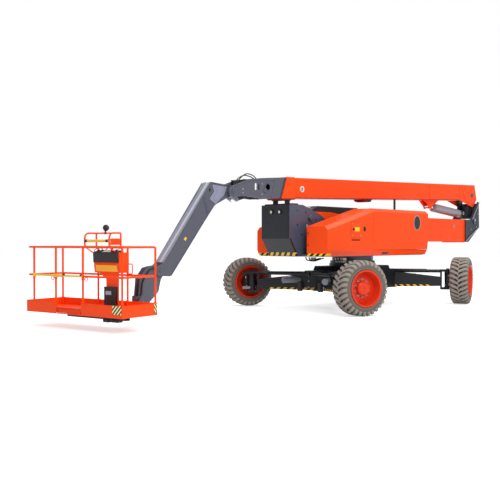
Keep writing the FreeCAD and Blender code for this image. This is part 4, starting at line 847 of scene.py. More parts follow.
class LIFT_OT_tyres(bpy.types.Operator):
    """Foam-filled tyres with a chevron tread of angled lugs"""

    bl_idname = "lift.tyres"
    bl_label = "Tyres"

    CROWN = 0.5775
    HALF = 0.2225
    BEAD = 0.3605
    SWEEP = 0.190
    CENTRE_GAP = -0.006
    SHOULDER = 0.150

    def carcass(self, depth):
        """Section from bead to bead (radius, offset), below the lugs by the tread depth."""
        r, w = self.CROWN - depth, self.HALF
        side = [(self.BEAD, w - 0.038), (self.BEAD + 0.03, w - 0.012), (0.445, w - 0.002),
                (0.500, w - 0.012), (r - 0.022, w - 0.034), (r - 0.004, w - 0.080), (r, 0.07)]
        outline = side + [(r, y) for y in (0.02, -0.02)] + [(a, -b) for a, b in side[::-1]]
        return smooth_profile(outline, 64)

    def lug(self, side, start, depth, pitch):
        """One lug: four-sided section carried from the tread's middle over the shoulder.

        Its heading turns with the distance from the middle, its top follows the tread's
        outer profile and its foot sinks into the carcass.
        """
        s = np.linspace(0, 1, 15)
        across_tread = self.CENTRE_GAP + s * (self.HALF - 0.006 - self.CENTRE_GAP)
        over = np.clip((across_tread - self.SHOULDER) / (self.HALF - 0.006 - self.SHOULDER), 0, 1)
        top = self.CROWN - 0.0008 - 0.004 * s ** 2 - 0.062 * over ** 2.2
        foot = top - depth - 0.012 - 0.01 * over
        middle = start + self.SWEEP * (np.clip(across_tread, 0, None) / self.HALF) ** 0.8
        half = pitch * (0.285 + 0.030 * s)
        y = side * across_tread
        rows = [ring_points(top, y, middle - half * 0.86), ring_points(top, y, middle + half * 0.86),
                ring_points(foot, y, middle + half), ring_points(foot, y, middle - half)]
        verts = np.stack(rows, 1).reshape(-1, 3)
        faces = grid_faces(len(s), 4, wrap_columns=True).tolist()
        last = (len(s) - 1) * 4
        return verts, faces + [[0, 1, 2, 3], [last, last + 3, last + 2, last + 1]]

    def grooves(self, corner, centre, basis, depth):
        """Skin of painted shade on the tread between the lugs, and two rings pressed into each
        sidewall.
        """
        skin = self.CROWN - depth + 0.0015
        rows = [(skin - 0.030, 0.196), (skin - 0.006, 0.150), (skin, 0.06), (skin, -0.06),
                (skin - 0.006, -0.150), (skin - 0.030, -0.196),
                (skin - 0.040, -0.190), (skin - 0.012, -0.06), (skin - 0.012, 0.06),
                (skin - 0.040, 0.190)]
        # near-black rubber between the lugs: painted shade
        base = make("tread_base_" + corner, [hoop(rows, centre, basis)],
                    MATERIALS["tyre_groove_shade"], "wheel_" + corner)
        smooth_by_angle(base, 40)
        rings = []
        for side in (1, -1):
            for radius, level, width in ((0.492, 0.2118, 0.006), (0.412, 0.2185, 0.005)):
                rings.append(hoop([(radius - width, side * (level - 0.006)),
                                   (radius - width * 0.5, side * (level + 0.001)),
                                   (radius + width * 0.5, side * (level + 0.001)),
                                   (radius + width, side * (level - 0.006))], centre, basis))
        piece = make("sidewall_rings_" + corner, rings, MATERIALS["tyre_lugs"], "wheel_" + corner)

    def execute(self, context):
        s = sizes()
        pitch = 2 * math.pi / s.lug_count
        for corner in CORNERS:
            centre, basis = wheel_basis(corner)
            verts, faces = hoop(self.carcass(s.lug_height), centre, basis, 96)
            body = new_piece("tyre_carcass_" + corner, verts, faces,
                             MATERIALS["tyre_rubber"], "wheel_" + corner)
            smooth_by_angle(tidy_normals(body), 50)
            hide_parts("tyre_" + corner)
            lugs = []
            for k in range(s.lug_count):
                lugs.append(self.lug(1, k * pitch, s.lug_height, pitch))
                lugs.append(self.lug(-1, (k + 0.5) * pitch, s.lug_height, pitch))
            verts, faces = gather(lugs)
            tread = new_piece("tread_" + corner, verts @ basis.T + centre, faces,
                              MATERIALS["tyre_lugs"], "wheel_" + corner)
            tidy_normals(tread)
            self.grooves(corner, centre, basis, s.lug_height)
        return {"FINISHED"}


class LIFT_OT_wheel_fittings(bpy.types.Operator):
    """Nuts, hub bolts and plug on each wheel"""

    bl_idname = "lift.wheel_fittings"
    bl_label = "Wheel fittings"

    NUTS = 10
    NUT_CIRCLE = 0.178
    HUB_BOLTS = 12
    HUB_CIRCLE = 0.132
    FACE, HUB = 0.048, 0.160  # the dish and the hub's end, outboard of the wheel's middle

    def execute(self, context):
        for corner in CORNERS:
            centre, basis = wheel_basis(corner)
            out = basis[:, 1]

            def at(radius, angle, offset):
                return basis @ ring_points(radius, offset, np.array(angle)) + centre

            nuts = []
            for k in range(self.NUTS):
                a = 2 * math.pi * (k + 0.5) / self.NUTS
                foot = at(self.NUT_CIRCLE, a, self.FACE - 0.004)
                nuts.append(spun(foot, out, [(0.024, 0), (0.024, 0.009), (0.017, 0.009),
                                             (0.017, 0.030), (0.012, 0.034)], 6))
                nuts.append(bar(foot + out * 0.03, foot + out * 0.046, 0.010, 10))
            piece = make("wheel_nuts_" + corner, nuts, MATERIALS["bare_steel"], "wheel_" + corner)
            bolts = []
            for k in range(self.HUB_BOLTS):
                a = 2 * math.pi * k / self.HUB_BOLTS
                foot = at(self.HUB_CIRCLE, a, self.HUB - 0.030)
                bolts.append(spun(foot, out, [(0.0095, 0), (0.0095, 0.016), (0.007, 0.019)], 6))
            plug = at(0.0, 0.0, self.HUB)
            bolts.append(spun(plug, out, [(0.030, -0.002), (0.030, 0.010), (0.022, 0.014)], 6))
            piece = make("hub_bolts_" + corner, bolts, MATERIALS["rim_paint"], "wheel_" + corner)
        return {"FINISHED"}


# ---------------------------------------------------------------- pivots
def pin_cap(centre, side, radius, plate=True):
    """Retaining disc on a pin's end, with its keeper plate and bolt; side is +1 or -1 along Y."""
    c = np.asarray(centre, float)
    out = np.array([0, side, 0], float)
    shapes = [spun(c, out, [(radius, 0), (radius, 0.010), (radius - 0.004, 0.014)], 28)]
    shapes.append(spun(c + out * 0.013, out, [(radius * 0.28, 0), (radius * 0.28, 0.003)], 16))
    if plate:
        for dx in (-0.55, 0.55):
            shapes.append(spun(c + (dx * radius, 0, 0) + out * 0.013, out,
                               [(0.011, 0), (0.011, 0.008), (0.008, 0.010)], 6))
    return shapes


class LIFT_OT_pivots(bpy.types.Operator):
    """Retaining discs, bolts and grease nipples on the ends of the pivot pins"""

    bl_idname = "lift.pivots"
    bl_label = "Pivot ends"

    def execute(self, context):
        for name, node, body, radius, material, inset in (
            ("riser_pin_ends", "riser_lift", "turntable", 0.062, "tower_paint", 0.425),
            ("knuckle_pin_ends", "knuckle_level", "knuckle", 0.060, "tower_paint", 0.320),
            ("boom_pin_ends", "boom_lift", "knuckle", 0.058, "tower_paint", 0.237),
            ("jib_pin_ends", "jib_lift", "jib", 0.045, "boom_grey", 0.229),
            ("tip_pin_ends", "level_boom_part", "jib", 0.040, "boom_grey", 0.134),
        ):
            at = joint_at(node)
            shapes = []
            for side in (1, -1):
                shapes += pin_cap(at + (0, side * (inset - 0.004), 0), side, radius)
            make(name, shapes, MATERIALS[material], body)
        return {"FINISHED"}


# ---------------------------------------------------------------- platform
RAIL_BACK, RAIL_FRONT = 0.2593, 1.0507  # middles of the rails' tubes
RAIL_FAR, RAIL_NEAR = -1.7257, 0.6657
BACK_POSTS = (RAIL_FAR, -0.75, 0.0, RAIL_NEAR)
GATE_POSTS = (-1.570, -0.976, -0.277)
FRONT_POSTS = GATE_POSTS + (RAIL_NEAR,)


class LIFT_OT_platform_rails(PieceGroup, bpy.types.Operator):
    """Bent tube rails, guard hoops, hanging rings and the yellow gate bars of the platform"""

    bl_idname = "lift.platform_rails"
    bl_label = "Platform rails"

    BODY, TURN = "platform", staticmethod(on_platform)
    FLOOR, MID, TOP, GUARD = 0.352, 0.940, 1.441, 1.690
    HOOPS = (-0.80, -0.17)
    HOOP_FRONT = 0.540

    def rings(self):
        """Top rail: a closed loop. Mid rail: a loop that stops at the gate's outer posts."""
        b, f, far, near = RAIL_BACK, RAIL_FRONT, RAIL_FAR, RAIL_NEAR
        middle = (f + b) / 2
        top = [(middle, near, self.TOP), (f, near, self.TOP), (f, far, self.TOP),
               (b, far, self.TOP), (b, near, self.TOP), (middle, near, self.TOP)]
        mid = [(f, GATE_POSTS[2], self.MID), (f, near, self.MID), (b, near, self.MID),
               (b, far, self.MID), (f, far, self.MID), (f, GATE_POSTS[0], self.MID)]
        return [tube(top, 0.0182, corner=0.055, count=16, closed=True),
                tube(mid, 0.0182, corner=0.055, count=16)]

    def posts(self):
        """Upright posts of the rear and the front."""
        return [bar((x, y, self.FLOOR), (x, y, self.TOP), 0.0188, 20)
                for x, ys in ((RAIL_BACK, BACK_POSTS), (RAIL_FRONT, FRONT_POSTS)) for y in ys]

    def hoops(self):
        """Each hoop bends forward over the console, tight at the back and wide at the front."""
        hoops = []
        for y in self.HOOPS:
            front, crest = self.HOOP_FRONT, self.GUARD
            line = [(RAIL_BACK, y, self.TOP), (RAIL_BACK, y, crest), (front, y, crest),
                    (front, y, self.TOP + 0.006), (RAIL_BACK, y, self.TOP + 0.006)]
            bend = path_points(line[:3], 0.03, 5)
            arc = path_points([line[1], line[2], line[3]], 0.13, 9)
            foot = path_points([line[2], line[3], line[4]], 0.05, 5)
            whole = np.concatenate([bend[:-1], arc[1:-1], foot[1:]])
            hoops.append(tube(whole, 0.0158, corner=0, count=14))
        ends = [(RAIL_BACK, y, self.GUARD) for y in self.HOOPS]
        hoops.append(bar(ends[0], ends[1], 0.0142))
        return hoops

    def rings_and_braces(self):
        """Hanging rings, the side loop and the braces of the guard frame."""
        parts = []
        angle = np.linspace(0, 2 * math.pi, 29)
        for y in (-1.057, -0.189):
            circle = [(RAIL_FRONT + 0.004, y + 0.033 * math.cos(a), 0.893 + 0.033 * math.sin(a))
                      for a in angle]
            parts.append(tube(circle, 0.0065, corner=0, count=10, closed=True))
        z0, z1, y0, y1 = 0.965, 1.139, -0.016, 0.122
        loop = [(0.262, (y0 + y1) / 2, z0), (0.262, y1, z0), (0.262, y1, z1), (0.262, y0, z1),
                (0.262, y0, z0), (0.262, (y0 + y1) / 2, z0)]
        parts.append(tube(loop, 0.0095, corner=0.03, count=10, closed=True))
        for line, radius in (
                ([(0.54, -0.79, self.TOP), (0.50, -0.66, 1.355), (0.47, -0.59, 1.325)], 0.011),
                ([(0.54, -0.18, self.TOP), (0.50, -0.10, 1.37), (0.45, -0.04, 1.345)], 0.011),
                ([(0.30, -0.42, self.TOP), (0.40, -0.39, 1.40), (0.45, -0.38, 1.37)], 0.009),
                ([(0.30, -0.28, self.TOP), (0.40, -0.25, 1.40), (0.45, -0.24, 1.37)], 0.009)):
            parts.append(tube(line, radius, corner=0.02))
        return parts

    def collars(self):
        """Collars under the gate's bar."""
        profile = [(0.0265, 0), (0.0270, 0.002), (0.0270, 0.023), (0.0265, 0.025)]
        return [spun((RAIL_FRONT, y, 0.885), (0, 0, 1), profile, 24) for y in GATE_POSTS]

    def gate(self):
        """Dress of the sliding bars: black latches, a pull plate and rivets."""
        f = RAIL_FRONT
        latches, plates = [], []
        for y in (-0.752, -0.305):
            latches.append(block((f + 0.018, y, 0.962), (0.030, 0.040, 0.022)))
            latches.append(bar((f + 0.018, y, 0.970), (f + 0.018, y, 0.984), 0.008, 12))
        plates.append(slab(rounded(-0.958, -0.782, 0.920, 0.960, 0.006), "x", f + 0.0235, f + 0.0275))
        rivets = bolts([(f + 0.0275, y, z) for y in (-0.945, -0.795) for z in (0.929, 0.951)],
                       (1, 0, 0), 0.0045, 0.004)
        self.put("gate_latches", latches, "black_plastic", "gate", 0.003)
        self.put("gate_plate", plates, "stripe_yellow", "gate", 0.001)
        self.put("gate_rivets", rivets, "bare_steel", "gate")

    def execute(self, context):
        parts = self.rings() + self.posts() + self.hoops() + self.rings_and_braces() + self.collars()
        rails = self.put("rail_tubes", parts, "body_paint")
        smooth_by_angle(rails)
        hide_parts("platform_rails")
        self.gate()
        return {"FINISHED"}


class LIFT_OT_platform_fittings(PieceGroup, bpy.types.Operator):
    """Console controls and label, document window, lamp, sensor bar ends and toe board trim"""

    bl_idname = "lift.platform_fittings"
    bl_label = "Platform fittings"

    BODY, TURN = "platform", staticmethod(on_platform)
    STEPS = ("control_box", "label", "document_window", "lamp_and_bar", "trim")

    FACE = 0.5143
    CONTROL = (-0.586, 0.030)

    def control_box(self):
        """Black box with a sloping lid over the console's own, its levers and switches."""
        near, far = self.CONTROL[1] + 0.006, self.CONTROL[0] - 0.002
        x = self.FACE
        shell = slab([(x - 0.004, 1.167), (x + 0.019, 1.167), (x + 0.027, 1.331), (x + 0.010, 1.351),
                      (x - 0.088, 1.384), (x - 0.120, 1.378), (x - 0.120, 1.349), (x - 0.004, 1.349)],
                     "y", far, near)
        self.put("control_box", [shell], "black_plastic", bevel=0.006)
        slope = math.atan2(0.033, 0.098)
        c, s = math.cos(slope), math.sin(slope)
        tilt = np.array([[c, 0, s], [0, 1, 0], [-s, 0, c]])
        up = tilt @ np.array([0, 0, 1.0])
        middle = np.array([x - 0.040, 0, 1.3685])
        boots, sticks, knobs, caps, guards = [], [], [], [], []
        for y, tall in ((-0.50, 0.075), (-0.405, 0.055), (-0.145, 0.055), (-0.055, 0.075)):
            foot = middle + np.array([0, y, 0])
            boots.append(spun(foot, up, [(0.030, 0), (0.030, 0.004), (0.018, 0.010), (0.021, 0.014),
                                         (0.014, 0.020), (0.016, 0.024), (0.008, 0.030)], 20))
            sticks.append(bar(foot + up * 0.028, foot + up * tall, 0.005, 12))
            knobs.append(spun(foot + up * (tall - 0.012), up, [
                (0.006, 0), (0.014, 0.008), (0.017, 0.020), (0.013, 0.032), (0.004, 0.037)], 18))
        for y in (-0.345, -0.315, -0.285, -0.255, -0.225):
            foot = middle + np.array([0.012, y, -0.004])
            sticks.append(bar(foot, foot + up * 0.028, 0.003, 10))
            caps.append(bar(foot + up * 0.006, foot + up * 0.010, 0.007, 12))
        stop = middle + np.array([-0.010, -0.185, 0])
        guards.append(spun(stop, up, [(0.020, 0), (0.020, 0.005), (0.010, 0.006), (0.010, 0.016),
                                      (0.018, 0.018), (0.018, 0.024), (0.010, 0.027)], 24))
        for y in (-0.56, 0.012):
            guards.append(tube([(x - 0.09, y, 1.382), (x - 0.09, y, 1.425), (x + 0.012, y, 1.395),
                                (x + 0.012, y, 1.345)], 0.006, corner=0.02, count=10))
        self.put("lever_boots", boots, "hose_rubber")
        self.put("lever_sticks", sticks, "bare_steel")
        smooth_by_angle(self.put("lever_knobs", knobs, "black_plastic"))
        self.put("switch_rings", caps, "bare_steel")
        self.put("stop_and_guards", guards, "red_lens")
        plate = block(middle + np.array([0.0, -0.285, -0.0015]), (0.085, 0.20, 0.003), tilt)
        self.put("switch_plate", [plate], "pale_plate", bevel=0.001)

    def label(self):
        """Blank yellow label on the slightly raked front below the control box."""
        x, rake = self.FACE, 0.022 / 0.150
        low, high = 1.008, 1.118
        at = lambda z: x - max(0.0, (1.135 - z)) * rake
        verts = []
        for z in (low, high):
            for y in (-0.545, -0.012):
                verts += [(at(z) + 0.0004, y, z), (at(z) + 0.0026, y, z)]
        faces = [[0, 1, 3, 2], [4, 6, 7, 5], [0, 4, 5, 1], [2, 3, 7, 6], [0, 2, 6, 4], [1, 5, 7, 3]]
        self.put("console_label", [(np.array(verts), faces)], "label_yellow", bevel=0.0008)
        heads = bolts([(at(z), y, z) for y in (-0.565, 0.012) for z in (1.02, 1.13)],
                      (1, 0, 0), 0.006, 0.005)
        self.put("console_bolts", heads, "bare_steel")

    def document_window(self):
        """Window, rim and lip of the document box."""
        x = self.FACE - 0.0217 + 0.050
        window = slab(rounded(-0.262, -0.115, 0.600, 0.668, 0.010), "x", x - 0.001, x + 0.003)
        rim = frame_strip(rounded(-0.270, -0.107, 0.592, 0.676, 0.014),
                          rounded(-0.262, -0.115, 0.600, 0.668, 0.010), "x", x - 0.001, x + 0.005)
        self.put("document_window", [window], "blue_window")
        self.put("document_rim", [rim], "black_plastic")
        lid = slab(rounded(-0.306, -0.012, 0.722, 0.744, 0.008), "x", x - 0.001, x + 0.004)
        self.put("document_lip", [lid], "black_plastic", bevel=0.001)

    def lamp_and_bar(self):
        """Beacon over the console, ends of the sensor bar and the guard panel."""
        ball = (0.262, -0.545, 1.788)
        angle = np.linspace(-math.pi / 2, math.pi / 2, 13)
        sphere = [(max(0.001, 0.058 * math.cos(a)), 0.058 * math.sin(a)) for a in angle]
        lamp = [spun(ball, (0, 0, 1), sphere, 28),
                bar((RAIL_BACK, -0.56, 1.692), (RAIL_BACK, -0.56, 1.735), 0.012, 14),
                spun((RAIL_BACK, -0.56, 1.725), (0, 0, 1),
                     [(0.030, 0), (0.030, 0.010), (0.020, 0.016)], 24)]
        smooth_by_angle(self.put("lamp", lamp, "black_plastic"))
        clamp = [spun((RAIL_BACK, -0.575, 1.690), (0, 1, 0), [(0.021, 0), (0.021, 0.030)], 20)]
        self.put("lamp_clamp", clamp, "black_plastic", bevel=0.002)
        ends = []
        for y, way in ((-0.784, 1), (-0.186, -1)):
            ends.append(spun((0.540, y, 1.5505), (0, way, 0), [
                (0.0255, 0.001), (0.0262, 0.004), (0.0262, 0.046), (0.0250, 0.060)], 24))
        self.put("sensor_ends", ends, "black_plastic")
        panel = slab([(0.285, 1.478), (0.520, 1.478), (0.520, 1.582), (0.500, 1.592), (0.285, 1.592)],
                     "y", -0.1635, -0.1585)
        straps = [block((x, -0.166, z), (0.030, 0.012, 0.022))
                  for x in (0.272, 0.528) for z in (1.50, 1.57)]
        self.put("guard_panel", [panel] + straps, "body_paint", bevel=0.002)

    def trim(self):
        """Edge lip round the foot, hazard plates at the corners and the entry's tread strip."""
        b, f, far, near = 0.235, 1.075, -1.750, 0.690
        lips = [block((f + 0.004, (far + near) / 2, 0.277), (0.008, near - far, 0.014)),
                block(((f + b) / 2, near + 0.004, 0.277), (f - b, 0.008, 0.014)),
                block(((f + b) / 2, far - 0.004, 0.277), (f - b, 0.008, 0.014)),
                block((b - 0.004, (far + near) / 2, 0.277), (0.008, near - far, 0.014))]
        entry, z = (-1.0, -0.25), 0.472
        lips += [block((f + 0.003, (entry[1] + near) / 2, z), (0.006, near - entry[1], 0.010)),
                 block((f + 0.003, (far + entry[0]) / 2, z), (0.006, entry[0] - far, 0.010)),
                 block(((f + b) / 2, near + 0.003, z), (f - b, 0.006, 0.010))]
        self.put("floor_lip", lips, "body_paint", bevel=0.003)
        plates = [block((f + 0.0045, 0.567, 0.405), (0.003, 0.205, 0.150)),
                  block((f - 0.030, far - 0.0045, 0.405), (0.055, 0.003, 0.150)),
                  block((b + 0.045, near + 0.0045, 0.395), (0.080, 0.003, 0.150))]
        self.put("hazard_plates", plates, "hazard_stripes", bevel=0.0008)
        sill = block((f - 0.012, (-0.976 - 0.277) / 2, 0.3855), (0.030, 0.64, 0.003))
        self.put("entry_strip", [sill], "body_paint", bevel=0.001)
        shoes = [block((x, y, 0.489), (size, size, 0.006)) for x, size, ys in (
            (RAIL_FRONT, 0.050, FRONT_POSTS), (RAIL_BACK, 0.046, BACK_POSTS)) for y in ys]
        self.put("post_shoes", shoes, "body_paint", bevel=0.002)
        under = [block((0.62, 0.10, 0.165), (0.13, 0.16, 0.055)),
                 block((0.62, -0.12, 0.160), (0.12, 0.14, 0.060)),
                 block((0.60, -0.01, 0.190), (0.06, 0.34, 0.022))]
        self.put("under_platform", under, "black_plastic", bevel=0.010)


# ---------------------------------------------------------------- covers
class LIFT_OT_cover_fittings(PieceGroup, bpy.types.Operator):
    """Hatch, handles, latches, badge, seals and bolts of the side covers"""

    bl_idname = "lift.cover_fittings"
    bl_label = "Cover fittings"

    HATCH = (1.27, 1.64, 1.62, 1.965)
    HANDLE = (1.135, 1.818)
    BADGE = (-1.045, 1.995, 0.150, 0.180)
    LATCH = (0.16, 0.40, 1.252, 1.300)
    CREASE = 1.350

    def sill_face(self, face, z):
        """The sill leans inwards below the crease: 60 mm over its height."""
        drop = (self.CREASE - z) / (self.CREASE - low("cover_sills")[2])
        return face - 0.060 * max(0.0, drop)

    def hatch(self, face, side):
        """Service hatch: door, seam, lip, screws, knob and yellow plate."""
        x0, x1, z0, z1 = self.HATCH
        y = side * face

        def layer(outline, depth_in, depth_out):
            return slab(outline, "y", y - side * depth_in, y + side * depth_out)

        door = [layer(rounded(x0, x1, z0, z1, 0.025), 0.002, 0.006)]
        self.put("hatch_" + self.tag, door, "shell_paint", bevel=0.0025)
        seam = [frame_about(rounded(x0 - 0.006, x1 + 0.006, z0 - 0.006, z1 + 0.006, 0.030),
                            rounded(x0 + 0.001, x1 - 0.001, z0 + 0.001, z1 - 0.001, 0.024),
                            y, side, 0.001),
                layer(rounded(x0 + 0.035, x1 - 0.02, z0 - 0.060, z0 - 0.034, 0.010), 0.001, 0.001)]
        # dark seam round the door; the strip under the lip is painted shade
        self.put("hatch_seam_" + self.tag, seam, "dark_seams_and_hole_shade")
        lip = [layer(rounded(x0 + 0.030, x1 - 0.015, z0 - 0.034, z0 - 0.024, 0.004), 0.001, 0.007)]
        self.put("hatch_lip_" + self.tag, lip, "shell_paint", bevel=0.001)
        screws = bolts([(x, y + side * 0.006, z) for x in (x0 + 0.03, x1 - 0.03)
                        for z in (z0 + 0.05, z1 - 0.04)], (0, side, 0), 0.009, 0.007)
        self.put("hatch_screws_" + self.tag, screws, "bare_steel")
        middle_z = (z0 + z1) / 2 + 0.015
        knob = [spun((x1 - 0.085, y + side * 0.005, middle_z), (0, side, 0),
                     [(0.028, 0), (0.028, 0.018), (0.020, 0.026), (0.010, 0.028)], 24)]
        self.put("hatch_knob_" + self.tag, knob, "black_plastic")
        outline = rounded(x0 + 0.06, x1 - 0.135, middle_z - 0.045, middle_z + 0.045, 0.008)
        plate = [layer(outline, 0, 0.008)]
        self.put("hatch_plate_" + self.tag, plate, "stripe_yellow")

    def handle(self, face, side):
        """Oval finger cup with its ring."""
        x, z = self.HANDLE
        y = side * face
        cup = [slab(oval(x, z, 0.034, 0.050), "y", y - side * 0.002, y + side * 0.003)]
        # the cup's hollow is painted shade: a near-black disc
        self.put("cover_cup_" + self.tag, cup, "dark_seams_and_hole_shade")
        ring = [frame_about(oval(x, z, 0.042, 0.058), oval(x, z, 0.033, 0.049), y, side, 0.006)]
        self.put("cover_cup_ring_" + self.tag, ring, "black_plastic", bevel=0.0015)

    def latch(self, face, side):
        """Paddle latch on the sill, leaning as the sill does."""
        x0, x1, z0, z1 = self.LATCH
        middle = (z0 + z1) / 2
        y = side * self.sill_face(face, middle)
        lean = math.atan2(0.060, self.CREASE - low("cover_sills")[2]) * side
        c, s = math.cos(lean), math.sin(lean)
        turn = np.array([[1, 0, 0], [0, c, s], [0, -s, c]])
        for part, wide, high_, deep, out, material in (
                ("bezel", x1 - x0, z1 - z0, 0.012, 0.001, "black_plastic"),
                ("paddle", (x1 - x0) * 0.62, (z1 - z0) * 0.62, 0.010, 0.009, "dark_iron")):
            shape = block(about_slew(((x0 + x1) / 2, y + side * out, middle)),
                          (wide, deep, high_), turn)
            make("latch_%s_%s" % (part, self.tag), [shape], MATERIALS[material], self.BODY,
                 bevel=0.003)

    def badge(self, face, side, hood):
        """Blank oval plate with a bright rim."""
        x, z, a, b = self.BADGE
        y = side * face
        plate = slab(oval(x, z, a - 0.018, b - 0.018, 56), "y", y, y + side * 0.005)
        self.put("badge_" + self.tag, [plate], "badge_black", hood)
        rim = frame_about(oval(x, z, a, b, 56), oval(x, z, a - 0.02, b - 0.02, 56), y, side, 0.009)
        self.put("badge_rim_" + self.tag, [rim], "bare_steel", hood, bevel=0.002)

    def seals(self, inner, side):
        """Rubber edge along the cover's front and its slope."""
        front = high("side_covers")[0] - SLEW[0]
        z0 = low("side_covers")[2]
        y = side * (inner - 0.012)
        top = 1.86
        path = [(front - 0.02, y, z0 + 0.01), (front - 0.02, y, top - 0.01), (0.86, y, top + 0.405)]
        self.put("cover_seal_" + self.tag, [tube(path, 0.011, 0.03, 10)], "hose_rubber")
        heads = bolts([(x, side * (inner + 0.29 - share * 0.1), top + (front - x) * 0.43 / 1.70)
                       for x, share in ((1.80, 0.34), (2.185, 0.10))], (0.245, 0, 0.97), 0.020, 0.014)
        self.put("cover_top_bolts_" + self.tag, heads, "shell_paint")
        dots = bolts([(front, side * (inner + 0.035), z) for z in (1.46, 1.714)],
                     (1, 0, 0), 0.012, 0.008)
        self.put("cover_front_bolts_" + self.tag, dots, "dark_iron")
        hinge = [block((front - 0.03, side * (inner - 0.004), top - 0.02), (0.016, 0.022, 0.13)),
                 bar((front - 0.02, side * (inner - 0.016), top - 0.09),
                     (front - 0.02, side * (inner - 0.016), top + 0.05), 0.010)]
        self.put("cover_hinge_" + self.tag, hinge, "bare_steel", bevel=0.002)

    def execute(self, context):
        near, far = high("side_covers")[1], -low("side_covers")[1]
        near_in, far_in = low("hood_left")[1] + 0.014, -high("hood_right")[1] + 0.014
        for self.tag, face, inner, side, hood in (
                ("left", near, near_in, 1, "hood_left"), ("right", far, far_in, -1, "hood_right")):
            self.latch(face, side)
            self.badge(face, side, hood)
            self.seals(inner, side)
            self.handle(face, side)
            if side > 0:
                self.hatch(face, side)
        return {"FINISHED"}


# ---------------------------------------------------------------- tower and riser
class LIFT_OT_tower_fittings(PieceGroup, bpy.types.Operator):
    """Front panel's trim, work lamps, hose tray and the trim of the riser"""

    bl_idname = "lift.tower_fittings"
    bl_label = "Tower fittings"

    CHIN = 1.600
    LAMPS = ((-0.105, 2.180), (0.130, 2.176))
    TRAY = (0.10, 1.92)
    TRAY_TOP = 2.335
    RISER_LINES = (0.30, 0.64)
    FITTING = (-4.50, 1.985)

    def panel(self, face):
        """Raised plate, bolts and side edges of the front panel."""
        half = high("front_panel")[1]
        top = high("front_panel")[2]
        outer = rounded(-half + 0.045, half - 0.045, self.CHIN + 0.045, top - 0.05, 0.03)
        plate = [slab(outer, "x", face - 0.001, face + 0.005)]
        self.put("panel_plate", plate, "panel_black", bevel=0.002)
        places = [(y, z) for y in (-half + 0.085, -half * 0.33, half * 0.33, half - 0.085)
                  for z in (self.CHIN + 0.085, top - 0.09)]
        places += [(y, z) for z in (self.CHIN + 0.26, top - 0.26)
                   for y in (-half + 0.085, half - 0.085)]
        heads = bolts([(face + 0.005, y, z) for y, z in places], (1, 0, 0), 0.011, 0.008)
        self.put("panel_bolts", heads, "dark_iron")
        edges = [block((face - 0.012, side * (half + 0.004), (self.CHIN + top) / 2),
                       (0.036, 0.008, top - self.CHIN)) for side in (1, -1)]
        self.put("panel_edges", edges, "tower_paint", bevel=0.002)

    def lamps(self, face):
        """Two work lamps, each a cup and a glass."""
        cups, glasses = [], []
        for y, z in self.LAMPS:
            cups.append(spun((face + 0.004, y, z), (1, 0, 0), [
                (0.040, 0), (0.046, 0.012), (0.046, 0.030), (0.036, 0.034), (0.033, 0.022)], 28))
            glasses.append(spun((face + 0.022, y, z), (1, 0, 0), [
                (0.034, 0), (0.034, 0.006), (0.026, 0.012), (0.012, 0.015)], 28))
        self.put("lamp_cups", cups, "black_plastic")
        self.put("lamp_glasses", glasses, "lamp_glass")

    def tray(self):
        """Folded tray over the riser's front end, its nose cut back."""
        x0, x1 = self.TRAY
        foot, top = high("riser_base")[2] - 0.001, self.TRAY_TOP
        half = high("riser_base")[1] * 0.62
        side_outline = [(x0, foot), (x1, foot), (x1 - 0.30, top), (x0, top)]
        skirts = both_sides(side_outline, half, half - 0.006)
        self.put("tray_skirts", skirts, "black_plastic", "riser")
        lid = [slab([(x0, top), (x1 - 0.30, top), (x1, foot), (x1, foot + 0.006),
                     (x1 - 0.30, top + 0.007), (x0, top + 0.007)], "y", -half - 0.006, half + 0.006)]
        self.put("tray_lid", lid, "tower_paint", "riser", bevel=0.002)
        hoses = []
        for k in range(4):
            y = (k - 1.5) * 0.06
            hoses.append(tube([(x0 - 0.55, y, foot + 0.03), (x0 - 0.1, y, foot + 0.05),
                               (x0 + 0.15, y, foot + 0.07)], sizes().hose_radius, 0.1))
        self.put("tray_hoses", hoses, "hose_rubber", "riser")

    def riser_lines(self):
        """Two long pressed ribs on each side of the riser, and its test fitting."""
        (x0, _, z0), (x1, _, z1) = low("riser_base") - SLEW, high("riser_base") - SLEW
        half = 0.260
        ribs = []
        for share in self.RISER_LINES:
            z = z1 - share * (z1 - z0)
            for side in (1, -1):
                ribs.append(block(((x0 + 0.16 + x1 - 1.5) / 2, side * half, z),
                                  (x1 - 1.5 - x0 - 0.16, 0.008, 0.022)))
        self.put("riser_ribs", ribs, "body_paint", "riser", bevel=0.0035)
        x, z = self.FITTING
        fitting = [spun((x, half - 0.001, z), (0, 1, 0), [
            (0.045, 0), (0.045, 0.006), (0.030, 0.010), (0.030, 0.016), (0.012, 0.018)], 24)]
        self.put("riser_fitting", fitting, "bare_steel", "riser")
        hole = spun((x, half + 0.018, z), (0, 1, 0), [(0.011, 0), (0.011, 0.001)], 16)
        # the hole is painted shade
        self.put("riser_fitting_hole", [hole], "dark_seams_and_hole_shade", "riser")
        nipples = [spun((x1 - back, 0.0, z1), (0, 0, 1),
                        [(0.008, 0), (0.008, 0.02), (0.004, 0.03)], 10) for back in (0.16, 0.28)]
        self.put("riser_nipples", nipples, "bare_steel", "riser")

    def execute(self, context):
        face = high("front_panel")[0] - SLEW[0]
        self.panel(face)
        self.lamps(face)
        self.tray()
        self.riser_lines()
        return {"FINISHED"}


